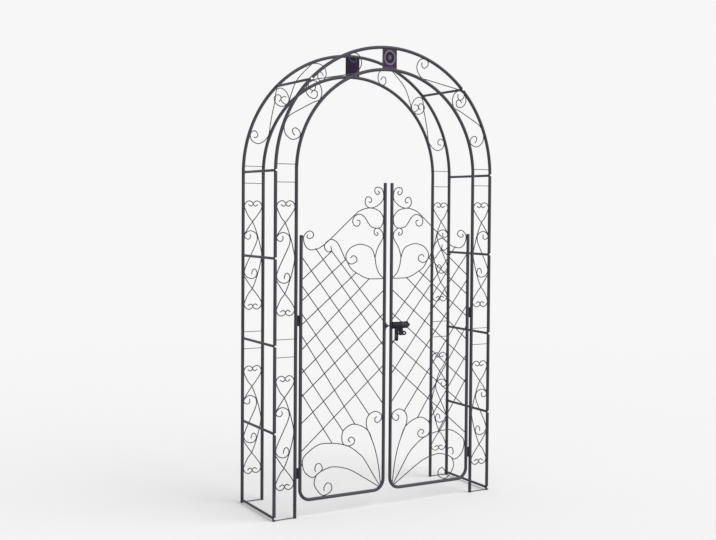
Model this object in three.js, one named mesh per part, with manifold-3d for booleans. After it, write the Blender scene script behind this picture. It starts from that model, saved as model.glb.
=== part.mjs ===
// Garden arch with a pair of gates, drawn in millimetres with +Z up.
// The origin lies on the ground under the middle of the arch, and the front faces -Y.
// Four half-round ladders stand as two faces, front and back, tied by rungs from front to back.

import * as THREE from 'three';
import { mergeVertices } from 'three/addons/utils/BufferGeometryUtils.js';
import Module from 'manifold-3d';

const wasm = await Module();
wasm.setup();

// Overall sizes of the arch
const overallWidth = 1150;
const overallDepth = 360;
const overallHeight = 2095;

// Tubes, rods and wires
const tubeDiameter = 15;
const pairPitch = 100;
const rungDiameter = 11.5;
const scrollDiameter = 4.4;
const tieDiameter = 3;
const groundTieDiameter = 4;
const fitGap = 0.3;
const cutOverrun = 5;

// Plug joints between the sections
const socketDepth = 40;
const spigotDiameter = 9.4;
const tieBelowJoint = 50;
const tieAboveJoint = 28;
const groundTieHeight = 2.5;
const groundRungHeight = 12;

// Bolts of the rungs
const boltDiameter = 5;
const boltHeadDiameter = 9.5;
const boltHeadHeight = 3.5;
const boltReach = 14;

// Plaque at the top of each face
const plaqueWidth = 75;
const plaqueThickness = 3;
const plaqueBorder = 4;
const plaqueRelief = 1.5;
const medallionWidth = 60;
const medallionHeight = 66;
const medallionRim = 5;
const medallionRise = 5;

// Gate leaves
const hingeSpacing = 24.4;
const lockStileGap = 36;
const lockStileHeight = 1475;
const hingeStileShare = 0.841;
const bottomRailShare = 0.05;
const cornerRadius = 50;

// Hinges
const lowerHingeHeight = 173;
const upperHingeHeight = 843;
const knuckleLength = 23;
const knuckleDiameter = 8.4;
const hingePinDiameter = 4.4;
const hingePinShow = 2;
const hingeSeatWidth = 5;

// Latch
const latchHeight = 825;
const latchBoltDiameter = 6;
const latchBoltShort = 2.5;
const latchPlateThickness = 2.5;
const latchPlateWidth = 31;
const latchPlateStart = 1;
const latchPlateEnd = 96;
const latchPoint = 12;
const caseEnd = 50;
const caseWidth = 18;
const caseDepth = 11;
const flangeWidth = 25;
const latchBoltThrow = 15;
const latchBoltRetreat = 20;
const handlePlace = 20;
const handleNeck = 8;
const handleWidth = 19;
const handleThickness = 4;
const handleDrop = 72;
const handleHole = 4;
const handleHoleRise = 16;
const lugStart = 34;
const lugEnd = 60;
const lugTaper = 5;
const lugDrop = 32;
const eyePlace = 66;
const eyeDrop = 38;
const eyeDiameter = 21;
const eyeHole = 7.5;
const keeperLength = 40;
const keeperReach = 8;
const keeperLoopWidth = 7;
const keeperLoopHeight = 14;
const latchScrewDiameter = 4;
const latchScrewHead = 6.4;
const latchScrewHeadHeight = 2.5;
const upperScrewPlace = 57;
const upperScrewRise = 8;
const lowerScrewPlace = 71;
const lowerScrewRise = 4.5;

// Numbers of flat sides and steps
const tubeSides = 8;
const wireSides = 4;
const boltSides = 6;
const archSteps = 12;
const cornerSteps = 4;
const ovalSteps = 16;

// Places worked out from the sizes above
const tubeRadius = tubeDiameter / 2;
const outerX = overallWidth / 2 - tubeRadius;
const innerX = outerX - pairPitch;
const pairMiddle = (outerX + innerX) / 2;
const faceY = overallDepth / 2 - tubeRadius;
const springHeight = overallHeight - tubeRadius - outerX;
const bay = springHeight / 4;
const archStep = Math.PI / 2 / archSteps;
const archRungAngle = Math.PI / 4;
const boltHole = boltDiameter + 2 * fitGap;
const socketDiameter = spigotDiameter + 2 * fitGap;
const lockX = lockStileGap / 2;
const hingeStileX = innerX - hingeSpacing;
const hingeAxisX = innerX - hingeSpacing / 2;
const leafWidth = hingeStileX - lockX;
const hingeStileHeight = lockStileHeight * hingeStileShare;
const bottomRailHeight = lockStileHeight * bottomRailShare;
const latticeOffset = scrollDiameter / 3;

// Finishes
const powderCoat = new THREE.MeshStandardMaterial({ color: 0x3b3a43, roughness: 0.5, metalness: 0.25 });
const blackLatch = new THREE.MeshStandardMaterial({ color: 0x1d1c20, roughness: 0.45, metalness: 0.3 });
const zinc = new THREE.MeshStandardMaterial({ color: 0xc9cdd2, roughness: 0.3, metalness: 0.9 });

// Scrolls of a side panel: shares of the pair pitch across, outwards, and of the bay upwards,
// measured from the middle of the pair at the height of the rung
const bowShares = [
  [0.23, 0.61], [0.1, 0.593], [0, 0.623], [0.15, 0.655], [0.33, 0.643], [0.43, 0.598], [0.38, 0.546],
  [0.21, 0.46], [0.03, 0.404], [-0.17, 0.28], [-0.33, 0.141], [-0.43, 0],
  [-0.33, -0.141], [-0.17, -0.28], [0.03, -0.404], [0.21, -0.46],
  [0.38, -0.546], [0.43, -0.598], [0.33, -0.643], [0.15, -0.655], [0, -0.623], [0.1, -0.593], [0.23, -0.61],
];
const shortScrollShares = [
  [-0.23, 0.61], [-0.1, 0.593], [0, 0.623], [-0.15, 0.655], [-0.33, 0.643], [-0.43, 0.598], [-0.38, 0.546],
  [-0.16, 0.465], [0.03, 0.404], [0.22, 0.338], [0.44, 0.25],
];
const essScrollShares = [
  [0.15, 0.252], [0.13, 0.225], [0.17, 0.202], [0.27, 0.194], [0.38, 0.207], [0.43, 0.238],
  [0.32, 0.277], [0.13, 0.295], [-0.1, 0.273], [-0.2, 0.228], [-0.17, 0.154], [0.09, 0.012],
  [0.32, -0.11], [0.43, -0.2], [0.32, -0.258], [0.1, -0.283], [-0.1, -0.271], [-0.2, -0.23],
  [-0.17, -0.188], [-0.07, -0.169], [0.03, -0.188], [0.06, -0.23],
];

// Scrolls of an arch quarter: degrees above the springing, and shares of the pair pitch from
// the inner tube to the outer one
const crownScrollShares = [
  [71.2, 0.74], [70.6, 0.58], [68.9, 0.55], [67.6, 0.76], [68.6, 0.94], [71.2, 0.93], [73.1, 0.75],
  [73.4, 0.45], [71.6, 0.22], [68.2, 0.07], [65.2, 0.12], [55.6, 0.4], [47.3, 0.8], [44.4, 0.95],
  [42.2, 0.9], [41.5, 0.7], [42.3, 0.55], [44, 0.57], [45.1, 0.67],
];
const flankScrollShares = [
  [40.5, 0.56], [42.3, 0.55], [43.1, 0.4], [41.8, 0.27], [39.8, 0.28], [38.5, 0.5], [39, 0.75],
  [41, 0.91], [43.5, 0.93], [45.9, 0.82], [46.7, 0.5], [44.8, 0.2], [41.2, 0.07], [37.9, 0.22],
  [31.1, 0.54], [25.5, 0.87], [22.5, 0.94], [19.4, 0.92], [16.8, 0.77], [15.4, 0.46], [16.4, 0.22],
  [18.7, 0.09], [20.8, 0.18], [21.4, 0.4], [20.1, 0.51], [18.7, 0.46], [17.8, 0.34],
];

// The back quarters have their scrolls turned over, so that the flank scroll ends at the outer tube
const backCrownScrollShares = crownScrollShares.map(([degrees, share]) => [degrees, 1 - share]);
const backFlankScrollShares = [
  [40.5, 0.44], [42.3, 0.45], [43.1, 0.6], [41.8, 0.73], [39.8, 0.72], [38.5, 0.5], [39, 0.25],
  [41, 0.1], [43.5, 0.07], [45.9, 0.18], [47, 0.5], [46.2, 0.78], [44, 0.89], [41.7, 0.77],
  [39.4, 0.618], [35.5, 0.457], [31.4, 0.319], [27.2, 0.196], [24.2, 0.11], [21.5, 0.07], [19.3, 0.11],
  [17.1, 0.21], [15, 0.44], [15.3, 0.73], [16.8, 0.89], [18.8, 0.93], [20.5, 0.79], [19.6, 0.59],
  [17.9, 0.595], [17.3, 0.719],
];

// Scrolls of a gate leaf: shares of the leaf's width from the lock stile, and of the lock
// stile's height above the ground
const topCurlShares = [
  [0.088, 0.9745], [0.071, 0.9695], [0.096, 0.9635], [0.128, 0.972], [0.12, 0.984], [0.078, 0.986],
  [0.038, 0.98], [0.022, 0.968], [0.022, 0.952], [0.049, 0.94], [0.108, 0.9275], [0.186, 0.9225],
  [0.236, 0.931], [0.246, 0.943], [0.232, 0.954], [0.195, 0.956], [0.168, 0.9485], [0.178, 0.9395],
  [0.203, 0.941],
];
const topRailShares = [
  [0.925, 0.8405], [0.934, 0.8345], [0.905, 0.8305], [0.87, 0.834], [0.857, 0.8415], [0.873, 0.85],
  [0.905, 0.853], [0.945, 0.847], [0.972, 0.835], [0.966, 0.818], [0.93, 0.802], [0.86, 0.797],
  [0.722, 0.814], [0.388, 0.897], [0.3, 0.915], [0.186, 0.9225], [0.08, 0.9145], [0.028, 0.898],
  [0.021, 0.885], [0.037, 0.869], [0.085, 0.8605], [0.165, 0.8645], [0.208, 0.877], [0.25, 0.894],
  [0.306, 0.903], [0.366, 0.898], [0.397, 0.884], [0.38, 0.87], [0.342, 0.8665], [0.311, 0.873],
  [0.312, 0.883], [0.34, 0.885],
];
const smallCurlShares = [
  [0.1, 0.8475], [0.085, 0.843], [0.1, 0.838], [0.132, 0.844], [0.127, 0.8565], [0.085, 0.8605],
  [0.035, 0.85], [0.022, 0.836], [0.035, 0.824], [0.085, 0.802], [0.112, 0.78], [0.12, 0.768],
];
const heartShares = [
  [0.012, 0.706], [0.071, 0.722], [0.105, 0.745], [0.12, 0.768], [0.158, 0.796], [0.243, 0.809],
  [0.33, 0.811], [0.42, 0.801], [0.472, 0.781], [0.464, 0.762], [0.41, 0.752], [0.346, 0.76],
  [0.352, 0.773], [0.39, 0.777], [0.415, 0.771],
];
const sweepShares = [
  [0.655, 0.806], [0.648, 0.794], [0.688, 0.79], [0.728, 0.801], [0.722, 0.814], [0.66, 0.827],
  [0.588, 0.82], [0.535, 0.797], [0.485, 0.768], [0.464, 0.762], [0.412, 0.738], [0.33, 0.722],
  [0.215, 0.707], [0.1, 0.705], [0.012, 0.705],
];
const lowerCurlShares = [
  [0.086, 0.278], [0.108, 0.273], [0.1, 0.263], [0.068, 0.2605], [0.028, 0.27], [0.032, 0.285],
  [0.105, 0.2955], [0.178, 0.287], [0.212, 0.27], [0.207, 0.249], [0.166, 0.2235], [0.107, 0.182],
  [0.063, 0.132], [0.04, 0.086], [0.03, 0.062],
];
const middleCurlShares = [
  [0.412, 0.209], [0.433, 0.217], [0.395, 0.224], [0.355, 0.214], [0.375, 0.201], [0.44, 0.198],
  [0.492, 0.206], [0.51, 0.222], [0.495, 0.245], [0.422, 0.26], [0.35, 0.262], [0.25, 0.251],
  [0.178, 0.2327], [0.14, 0.207],
];
const longScrollShares = [
  [0.045, 0.0635], [0.093, 0.0857], [0.237, 0.1512], [0.31, 0.1725], [0.38, 0.188], [0.44, 0.198],
  [0.53, 0.2065], [0.624, 0.2113], [0.739, 0.2134], [0.81, 0.209], [0.89, 0.196], [0.96, 0.178],
  [0.971, 0.157], [0.94, 0.132], [0.856, 0.115], [0.795, 0.1235], [0.741, 0.136], [0.763, 0.153],
  [0.81, 0.153], [0.827, 0.14], [0.819, 0.132],
];
const footScrollShares = [
  [0.055, 0.0605], [0.237, 0.0942], [0.422, 0.1256], [0.595, 0.139], [0.695, 0.136], [0.795, 0.1235],
  [0.832, 0.104], [0.824, 0.0857], [0.754, 0.0605], [0.695, 0.0575], [0.632, 0.0685], [0.632, 0.0857],
  [0.68, 0.0928], [0.717, 0.0814], [0.717, 0.0707],
];

// Lattice wires of a leaf, each from end to end in the same shares
const shallowWireShares = [
  [[0.649, 0.791], [1, 0.706]], [[0.48, 0.766], [1, 0.644]], [[0.35, 0.7255], [1, 0.573]],
  [[0.19, 0.7062], [1, 0.498]], [[0, 0.672], [1, 0.428]], [[0, 0.6], [1, 0.358]],
  [[0, 0.515], [1, 0.278]], [[0, 0.439], [1, 0.194]],
];
const steepWireShares = [
  [[0, 0.571], [0.648, 0.794]], [[0, 0.495], [0.83, 0.8]], [[0, 0.403], [1, 0.78]],
  [[0, 0.314], [1, 0.696]], [[0.178, 0.287], [1, 0.613]], [[0.35, 0.262], [1, 0.548]],
  [[0.495, 0.245], [1, 0.453]], [[0.624, 0.2113], [1, 0.377]],
];

// Turns a three.js geometry into a solid that can be joined and cut
function solid(geometry) {
  geometry.deleteAttribute('normal');
  geometry.deleteAttribute('uv');
  const welded = mergeVertices(geometry);
  const vertProperties = new Float32Array(welded.attributes.position.array);
  const triVerts = new Uint32Array(welded.index.array);
  return new wasm.Manifold(new wasm.Mesh({ numProp: 3, vertProperties, triVerts }));
}

function join(pieces) {
  return pieces.reduce((whole, piece) => whole.add(piece));
}

// Names a finished solid and gives it its finish
function named(name, shape, material) {
  const { vertProperties, triVerts } = shape.getMesh();
  const geometry = new THREE.BufferGeometry();
  geometry.setAttribute('position', new THREE.BufferAttribute(vertProperties, 3));
  geometry.setIndex(new THREE.BufferAttribute(triVerts, 1));
  geometry.computeVertexNormals();
  const mesh = new THREE.Mesh(geometry, material);
  mesh.name = name;
  return mesh;
}

function point(x, y, z) {
  return new THREE.Vector3(x, y, z);
}

function box(x0, x1, y0, y1, z0, z1) {
  const geometry = new THREE.BoxGeometry(Math.abs(x1 - x0), Math.abs(y1 - y0), Math.abs(z1 - z0));
  geometry.translate((x0 + x1) / 2, (y0 + y1) / 2, (z0 + z1) / 2);
  return solid(geometry);
}

// A straight round bar between two points
function rod(from, to, diameter, sides = tubeSides) {
  const along = new THREE.Vector3().subVectors(to, from);
  const geometry = new THREE.CylinderGeometry(diameter / 2, diameter / 2, along.length(), sides);
  const turn = new THREE.Quaternion().setFromUnitVectors(point(0, 1, 0), along.clone().normalize());
  geometry.applyQuaternion(turn);
  geometry.translate(...new THREE.Vector3().addVectors(from, to).multiplyScalar(0.5));
  return solid(geometry);
}

// A bar along the axis of depth, as every hole and bolt of the arch is
function depthRod(x, z, yFrom, yTo, diameter, sides = boltSides) {
  return rod(point(x, yFrom, z), point(x, yTo, z), diameter, sides);
}

// A path that steps from station to station, with its direction halved at each bend
class StationPath extends THREE.Curve {
  constructor(stations) {
    super();
    this.stations = stations;
  }

  getUtoTmapping(u) {
    return u;
  }

  getPoint(t, target = new THREE.Vector3()) {
    const place = t * (this.stations.length - 1);
    const index = Math.min(Math.floor(place), this.stations.length - 2);
    return target.lerpVectors(this.stations[index], this.stations[index + 1], place - index);
  }

  getTangent(t, target = new THREE.Vector3()) {
    const last = this.stations.length - 1;
    const index = Math.round(t * last);
    target.set(0, 0, 0);
    if (index > 0) target.add(direction(this.stations[index - 1], this.stations[index]));
    if (index < last) target.add(direction(this.stations[index], this.stations[index + 1]));
    return target.normalize();
  }
}

function direction(from, to) {
  return new THREE.Vector3().subVectors(to, from).normalize();
}

// A round bar bent along its stations, its flat sides turned by a share of one side
function bentBar(stations, diameter, sides, turnShare) {
  const corners = [];
  for (let side = 0; side < sides; side += 1) {
    const angle = (side + turnShare) / sides * 2 * Math.PI;
    corners.push(new THREE.Vector2(Math.cos(angle), Math.sin(angle)).multiplyScalar(diameter / 2));
  }
  const extrudePath = new StationPath(stations);
  const settings = { steps: stations.length - 1, extrudePath, bevelEnabled: false };
  return solid(new THREE.ExtrudeGeometry(new THREE.Shape(corners), settings));
}

function wire(stations) {
  return bentBar(stations, scrollDiameter, wireSides, 1 / 2);
}

// Places in a side panel, an arch quarter and a gate leaf
function panelPlace(side, face, level, [across, rise]) {
  return point(side * (pairMiddle + across * pairPitch), face * faceY, level + rise * bay);
}

function archPlace(side, face, angle, radius) {
  return point(side * radius * Math.cos(angle), face * faceY, springHeight + radius * Math.sin(angle));
}

function archScrollPlace(side, face, [degrees, share]) {
  return archPlace(side, face, THREE.MathUtils.degToRad(degrees), innerX + share * pairPitch);
}

function leafPlace(side, [across, rise], depth = 0) {
  return point(side * (lockX + across * leafWidth), -faceY + depth, rise * lockStileHeight);
}

// One upright tube, with a plug below and a socket above where it has them
function upright(x, y, bottom, top, hasPlug) {
  let tube = rod(point(x, y, bottom), point(x, y, top), tubeDiameter);
  if (hasPlug) {
    const plugEnd = bottom - socketDepth + fitGap;
    tube = tube.add(rod(point(x, y, plugEnd), point(x, y, bottom + cutOverrun), spigotDiameter));
  }
  const socketEnd = top - socketDepth - fitGap;
  return tube.subtract(rod(point(x, y, socketEnd), point(x, y, top + cutOverrun), socketDiameter));
}

function drillForBolt(shape, x, z, face) {
  const reach = tubeRadius + cutOverrun;
  return shape.subtract(depthRod(x, z, face * faceY - reach, face * faceY + reach, boltHole));
}

function crossTie(side, face, height, diameter) {
  const y = face * faceY;
  return rod(point(side * innerX, y, height), point(side * outerX, y, height), diameter, wireSides);
}

// A welded side panel: two tubes, three scrolls crossing between them, and the cross ties
function sidePanel(side, face, isUpper) {
  const firstBay = isUpper ? 2 : 0;
  const joint = (firstBay + 2) * bay;
  const level = (firstBay + 1) * bay;
  const bottom = isUpper ? firstBay * bay + socketDepth / 2 + fitGap : 0;
  const top = joint + socketDepth / 2;
  const y = face * faceY;
  const mirrored = shortScrollShares.map(([across, rise]) => [across, -rise]);
  const scrolls = [bowShares, shortScrollShares, mirrored, essScrollShares];
  const lowTie = isUpper
    ? crossTie(side, face, firstBay * bay + tieAboveJoint, tieDiameter)
    : crossTie(side, face, groundTieHeight, groundTieDiameter);
  let panel = join([
    upright(side * innerX, y, bottom, top, isUpper),
    upright(side * outerX, y, bottom, top, isUpper),
    lowTie,
    crossTie(side, face, joint - tieBelowJoint, tieDiameter),
    ...scrolls.map((shares) => wire(shares.map((place) => panelPlace(side, face, level, place)))),
  ]);
  const boltHeights = isUpper ? [firstBay * bay, level, joint] : [groundRungHeight, level, joint];
  for (const height of boltHeights) panel = drillForBolt(panel, side * outerX, height, face);
  return panel;
}

// One bent tube of an arch quarter, from its seam on the upright to the crown
function archTube(side, face, radius, hasCrownPlug) {
  const seam = socketDepth / 2 + fitGap;
  const crown = fitGap / 2;
  const stations = [archPlace(side, face, Math.asin(seam / radius), radius)];
  for (let step = 1; step < archSteps; step += 1) {
    stations.push(archPlace(side, face, step * archStep, radius));
  }
  stations.push(archPlace(side, face, Math.PI / 2 - Math.asin(crown / radius), radius));
  const x = side * radius;
  const y = face * faceY;
  const foot = springHeight + seam;
  const plugEnd = foot - socketDepth + fitGap;
  const crownZ = springHeight + radius;
  const inside = side * (crown + cutOverrun);
  const halfSocket = side * socketDepth / 2;
  const footRod = (top, diameter) => rod(point(x, y, plugEnd), point(x, y, top), diameter);
  const crownRod = (from, to, diameter) => rod(point(from, y, crownZ), point(to, y, crownZ), diameter);
  const tube = bentBar(stations, tubeDiameter, tubeSides, 0)
    .subtract(footRod(foot, 2 * tubeDiameter))
    .subtract(crownRod(side * crown, -inside, 2 * tubeDiameter))
    .add(footRod(foot + cutOverrun, spigotDiameter));
  if (hasCrownPlug) return tube.add(crownRod(inside, side * fitGap - halfSocket, spigotDiameter));
  return tube.subtract(crownRod(-inside, halfSocket, socketDiameter));
}

// A welded arch quarter: two bent tubes with the crown and flank scrolls between them
function archQuarter(side, face) {
  const hasCrownPlug = side < 0;
  const frontScrolls = [crownScrollShares, flankScrollShares];
  const backScrolls = [backCrownScrollShares, backFlankScrollShares];
  const scrolls = face < 0 ? frontScrolls : backScrolls;
  let quarter = join([
    archTube(side, face, outerX, hasCrownPlug),
    archTube(side, face, innerX, hasCrownPlug),
    crossTie(side, face, springHeight + tieAboveJoint, tieDiameter),
    ...scrolls.map((shares) => wire(shares.map((place) => archScrollPlace(side, face, place)))),
  ]);
  quarter = drillForBolt(quarter, side * outerX, springHeight, face);
  const rungPlace = archPlace(side, face, archRungAngle, outerX);
  return drillForBolt(quarter, rungPlace.x, rungPlace.z, face);
}

// An oval plate standing proud of the plaque
function oval(width, height, y0, y1, z) {
  const corners = [];
  for (let step = 0; step < ovalSteps; step += 1) {
    const angle = step / ovalSteps * 2 * Math.PI;
    corners.push(new THREE.Vector2(Math.cos(angle) * width / 2, Math.sin(angle) * height / 2));
  }
  const depth = Math.abs(y1 - y0);
  const geometry = new THREE.ExtrudeGeometry(new THREE.Shape(corners), { depth, bevelEnabled: false });
  geometry.rotateX(Math.PI / 2);
  geometry.translate(0, Math.max(y0, y1), z);
  return solid(geometry);
}

// A plaque between the two tubes at the crown, with a raised border and a plain oval medallion
function plaque(face) {
  const half = plaqueWidth / 2;
  const bottom = springHeight + innerX + tubeRadius + fitGap;
  const top = springHeight + outerX - tubeRadius - fitGap - half * Math.tan(archStep / 2);
  const middle = (bottom + top) / 2 + medallionRise;
  const front = face * (faceY + plaqueThickness / 2);
  const back = face * (faceY - plaqueThickness / 2);
  const proud = front + face * plaqueRelief;
  const rimWidth = medallionWidth - 2 * medallionRim;
  const rimHeight = medallionHeight - 2 * medallionRim;
  const recess = half - plaqueBorder;
  const cutFront = proud + face * cutOverrun;
  const border = box(-half, half, back, proud, bottom, top)
    .subtract(box(-recess, recess, front, cutFront, bottom + plaqueBorder, top - plaqueBorder));
  const medallion = oval(medallionWidth, medallionHeight, back, proud, middle)
    .subtract(oval(rimWidth, rimHeight, front, cutFront, middle));
  const boss = oval(rimWidth / 2, rimHeight / 2, back, proud, middle);
  return join([border, medallion, boss]);
}

// A rung from the front tube to the back one, drawn in one piece with its rear bolt
function rung(x, z) {
  const end = faceY - tubeRadius - fitGap;
  const rearFace = faceY + tubeRadius + fitGap;
  const bar = depthRod(x, z, -end, end, rungDiameter, tubeSides);
  const bore = depthRod(x, z, -end - cutOverrun, -end + boltReach, boltHole);
  const shank = depthRod(x, z, end - cutOverrun, rearFace + boltHeadHeight / 2, boltDiameter);
  const head = depthRod(x, z, rearFace, rearFace + boltHeadHeight, boltHeadDiameter);
  return join([bar.subtract(bore), shank, head]);
}

function rungBolt(x, z) {
  const seat = -faceY - tubeRadius - fitGap;
  const tip = -faceY + tubeRadius + boltReach - fitGap;
  const head = depthRod(x, z, seat - boltHeadHeight, seat, boltHeadDiameter);
  return head.add(depthRod(x, z, seat - boltHeadHeight / 2, tip, boltDiameter));
}

// The bent tube around a leaf, with a named allowance all round for cutting its infill
function leafTube(side, allowance) {
  const y = -faceY;
  const lock = side * lockX;
  const hinge = side * hingeStileX;
  const low = bottomRailHeight;
  const stations = [point(lock, y, lockStileHeight + allowance)];
  const corner = (middleX, from) => {
    for (let step = 0; step <= cornerSteps; step += 1) {
      const angle = from + step / cornerSteps * Math.PI / 2;
      const x = middleX + side * cornerRadius * Math.cos(angle);
      stations.push(point(x, y, low + cornerRadius + cornerRadius * Math.sin(angle)));
    }
  };
  corner(lock + side * cornerRadius, Math.PI);
  corner(hinge - side * cornerRadius, 3 * Math.PI / 2);
  stations.push(point(hinge, y, hingeStileHeight + allowance));
  return bentBar(stations, tubeDiameter + 2 * allowance, tubeSides, 0);
}

// The scrolls and the lattice that fill a leaf, trimmed clear of its tube
function leafInfill(side) {
  const scrolls = [
    topCurlShares, topRailShares, smallCurlShares, heartShares, sweepShares,
    lowerCurlShares, middleCurlShares, longScrollShares, footScrollShares,
  ];
  const lattice = (ends, depth) => wire(ends.map((place) => leafPlace(side, place, depth)));
  const whole = join([
    ...scrolls.map((shares) => wire(shares.map((place) => leafPlace(side, place)))),
    ...shallowWireShares.map((ends) => lattice(ends, -latticeOffset)),
    ...steepWireShares.map((ends) => lattice(ends, latticeOffset)),
  ]);
  return whole.subtract(leafTube(side, fitGap));
}

// The hinge half on the post, with the pin standing up from its knuckle
function hingePost(side, height) {
  const x = side * hingeAxisX;
  const y = -faceY;
  const top = height + knuckleLength;
  const pinTop = top + fitGap + knuckleLength + hingePinShow;
  const reach = side * knuckleDiameter / 2;
  const half = hingeSeatWidth / 2;
  return join([
    rod(point(x, y, height), point(x, y, top), knuckleDiameter),
    box(x, x + reach, y - half, y + half, height, top),
    rod(point(x, y, top - cutOverrun), point(x, y, pinTop), hingePinDiameter),
  ]);
}

// The hinge half on the leaf, a bored knuckle that drops over the pin
function hingeLeaf(side, height) {
  const x = side * hingeAxisX;
  const y = -faceY;
  const bottom = height + knuckleLength + fitGap;
  const top = bottom + knuckleLength;
  const reach = side * knuckleDiameter / 2;
  const half = hingeSeatWidth / 2;
  const bore = hingePinDiameter + 2 * fitGap;
  const body = join([
    rod(point(x, y, bottom), point(x, y, top), knuckleDiameter),
    box(x - reach, x, y - half, y + half, bottom, top),
  ]);
  return body.subtract(rod(point(x, y, bottom - cutOverrun), point(x, y, top + cutOverrun), bore));
}

// Depths of the latch, from the front of the lock stile outwards
const plateBack = -faceY - tubeRadius - fitGap;
const plateFront = plateBack - latchPlateThickness;
const caseBack = plateFront - fitGap;
const flangeFront = caseBack - latchPlateThickness;
const caseFront = caseBack - caseDepth;
const boltY = (caseBack + caseFront) / 2;

function plateOutline(x0, x1, z0, z1) {
  const middle = (z0 + z1) / 2;
  const corners = [[x0, z0], [x1 - latchPoint, z0], [x1, middle], [x1 - latchPoint, z1], [x0, z1]];
  return new THREE.Shape(corners.map(([x, z]) => new THREE.Vector2(x, z)));
}

function flatPlate(outline, y0, y1) {
  const depth = Math.abs(y1 - y0);
  const geometry = new THREE.ExtrudeGeometry(outline, { depth, bevelEnabled: false });
  geometry.rotateX(Math.PI / 2);
  geometry.translate(0, Math.max(y0, y1), 0);
  return solid(geometry);
}

const latchScrews = [
  { name: 'upper', x: lockX + upperScrewPlace, z: latchHeight + upperScrewRise },
  { name: 'lower', x: lockX + lowerScrewPlace, z: latchHeight + lowerScrewRise },
];

function drillForScrews(shape) {
  const hole = latchScrewDiameter + 2 * fitGap;
  const drill = ({ x, z }) => depthRod(x, z, caseFront - cutOverrun, plateBack + cutOverrun, hole);
  return latchScrews.reduce((whole, screw) => whole.subtract(drill(screw)), shape);
}

// The plate welded to the lock stile, with its padlock eye on a lug below
function latchBackplate() {
  const half = latchPlateWidth / 2;
  const low = latchHeight - half;
  const outline = plateOutline(lockX - latchPlateStart, lockX + latchPlateEnd, low, latchHeight + half);
  const lug = [
    [lugStart, low + cutOverrun], [lugStart + lugTaper, low - lugDrop],
    [lugEnd, low - lugDrop], [lugEnd, low + cutOverrun],
  ];
  const lugOutline = new THREE.Shape(lug.map(([x, z]) => new THREE.Vector2(lockX + x, z)));
  const eyeX = lockX + eyePlace;
  const eyeZ = latchHeight - eyeDrop;
  const plate = join([
    flatPlate(outline, plateFront, plateBack),
    flatPlate(lugOutline, plateFront, plateBack),
    depthRod(eyeX, eyeZ, plateFront, plateBack, eyeDiameter, tubeSides),
  ]);
  const hole = depthRod(eyeX, eyeZ, plateFront - cutOverrun, plateBack + cutOverrun, eyeHole, tubeSides);
  return drillForScrews(plate.subtract(hole));
}

// The case that guides the bolt, with the slot for the handle and a pointed flange
function latchCase() {
  const start = lockX - latchPlateStart;
  const low = latchHeight - caseWidth / 2;
  const high = latchHeight + caseWidth / 2;
  const flangeHalf = flangeWidth / 2;
  const flange = plateOutline(
    start,
    lockX + latchPlateEnd,
    latchHeight - flangeHalf,
    latchHeight + flangeHalf,
  );
  const body = join([
    box(start, lockX + caseEnd, caseFront, caseBack, low, high),
    flatPlate(flange, flangeFront, caseBack),
  ]);
  const bore = rod(
    point(start - cutOverrun, boltY, latchHeight),
    point(lockX + caseEnd + cutOverrun, boltY, latchHeight),
    latchBoltDiameter + 2 * fitGap,
  );
  const halfSlot = handleThickness / 2 + fitGap;
  const halfNeck = handleNeck / 2 + fitGap;
  const slotStart = lockX + handlePlace - latchBoltThrow - halfNeck;
  const slotEnd = lockX + handlePlace + latchBoltRetreat + halfNeck;
  const slot = box(slotStart, slotEnd, boltY - halfSlot, boltY + halfSlot, low - cutOverrun, latchHeight);
  return drillForScrews(body.subtract(bore).subtract(slot));
}

// The sliding bolt with its drop handle, which has a narrow neck in the slot of the case
function latchBolt() {
  const tip = -lockX + keeperReach + latchBoltShort;
  const handleX = lockX + handlePlace;
  const half = handleWidth / 2;
  const halfNeck = handleNeck / 2;
  const end = latchHeight - handleDrop + half;
  const shoulder = latchHeight - flangeWidth / 2 - fitGap;
  const holeZ = latchHeight - handleDrop + handleHoleRise;
  const y0 = boltY - handleThickness / 2;
  const y1 = boltY + handleThickness / 2;
  const shape = join([
    rod(point(tip, boltY, latchHeight), point(handleX + half, boltY, latchHeight), latchBoltDiameter),
    box(handleX - halfNeck, handleX + halfNeck, y0, y1, end, latchHeight),
    box(handleX - half, handleX + half, y0, y1, end, shoulder),
    depthRod(handleX, end, y0, y1, handleWidth, tubeSides),
  ]);
  return shape.subtract(depthRod(handleX, holeZ, y0 - cutOverrun, y1 + cutOverrun, handleHole, boltSides));
}

// The keeper on the other leaf's lock stile
function latchKeeper() {
  const right = -lockX + keeperReach;
  const left = -lockX - tubeRadius;
  const half = keeperLength / 2;
  const loop = keeperLoopHeight / 2;
  const body = join([
    box(left, right, plateFront, plateBack, latchHeight - half, latchHeight + half),
    box(right - keeperLoopWidth, right, caseFront, plateBack, latchHeight - loop, latchHeight + loop),
  ]);
  const bore = rod(
    point(right - keeperLoopWidth - cutOverrun, boltY, latchHeight),
    point(right + cutOverrun, boltY, latchHeight),
    latchBoltDiameter + 2 * fitGap,
  );
  return body.subtract(bore);
}

function latchScrew({ x, z }) {
  const seat = flangeFront - fitGap;
  const head = depthRod(x, z, seat - latchScrewHeadHeight, seat, latchScrewHead);
  return head.add(depthRod(x, z, seat - latchScrewHeadHeight / 2, plateBack, latchScrewDiameter));
}

// The whole arch
const arch = new THREE.Group();
const sides = [{ name: 'left', sign: -1 }, { name: 'right', sign: 1 }];
const faces = [{ name: 'front', sign: -1 }, { name: 'back', sign: 1 }];

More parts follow.
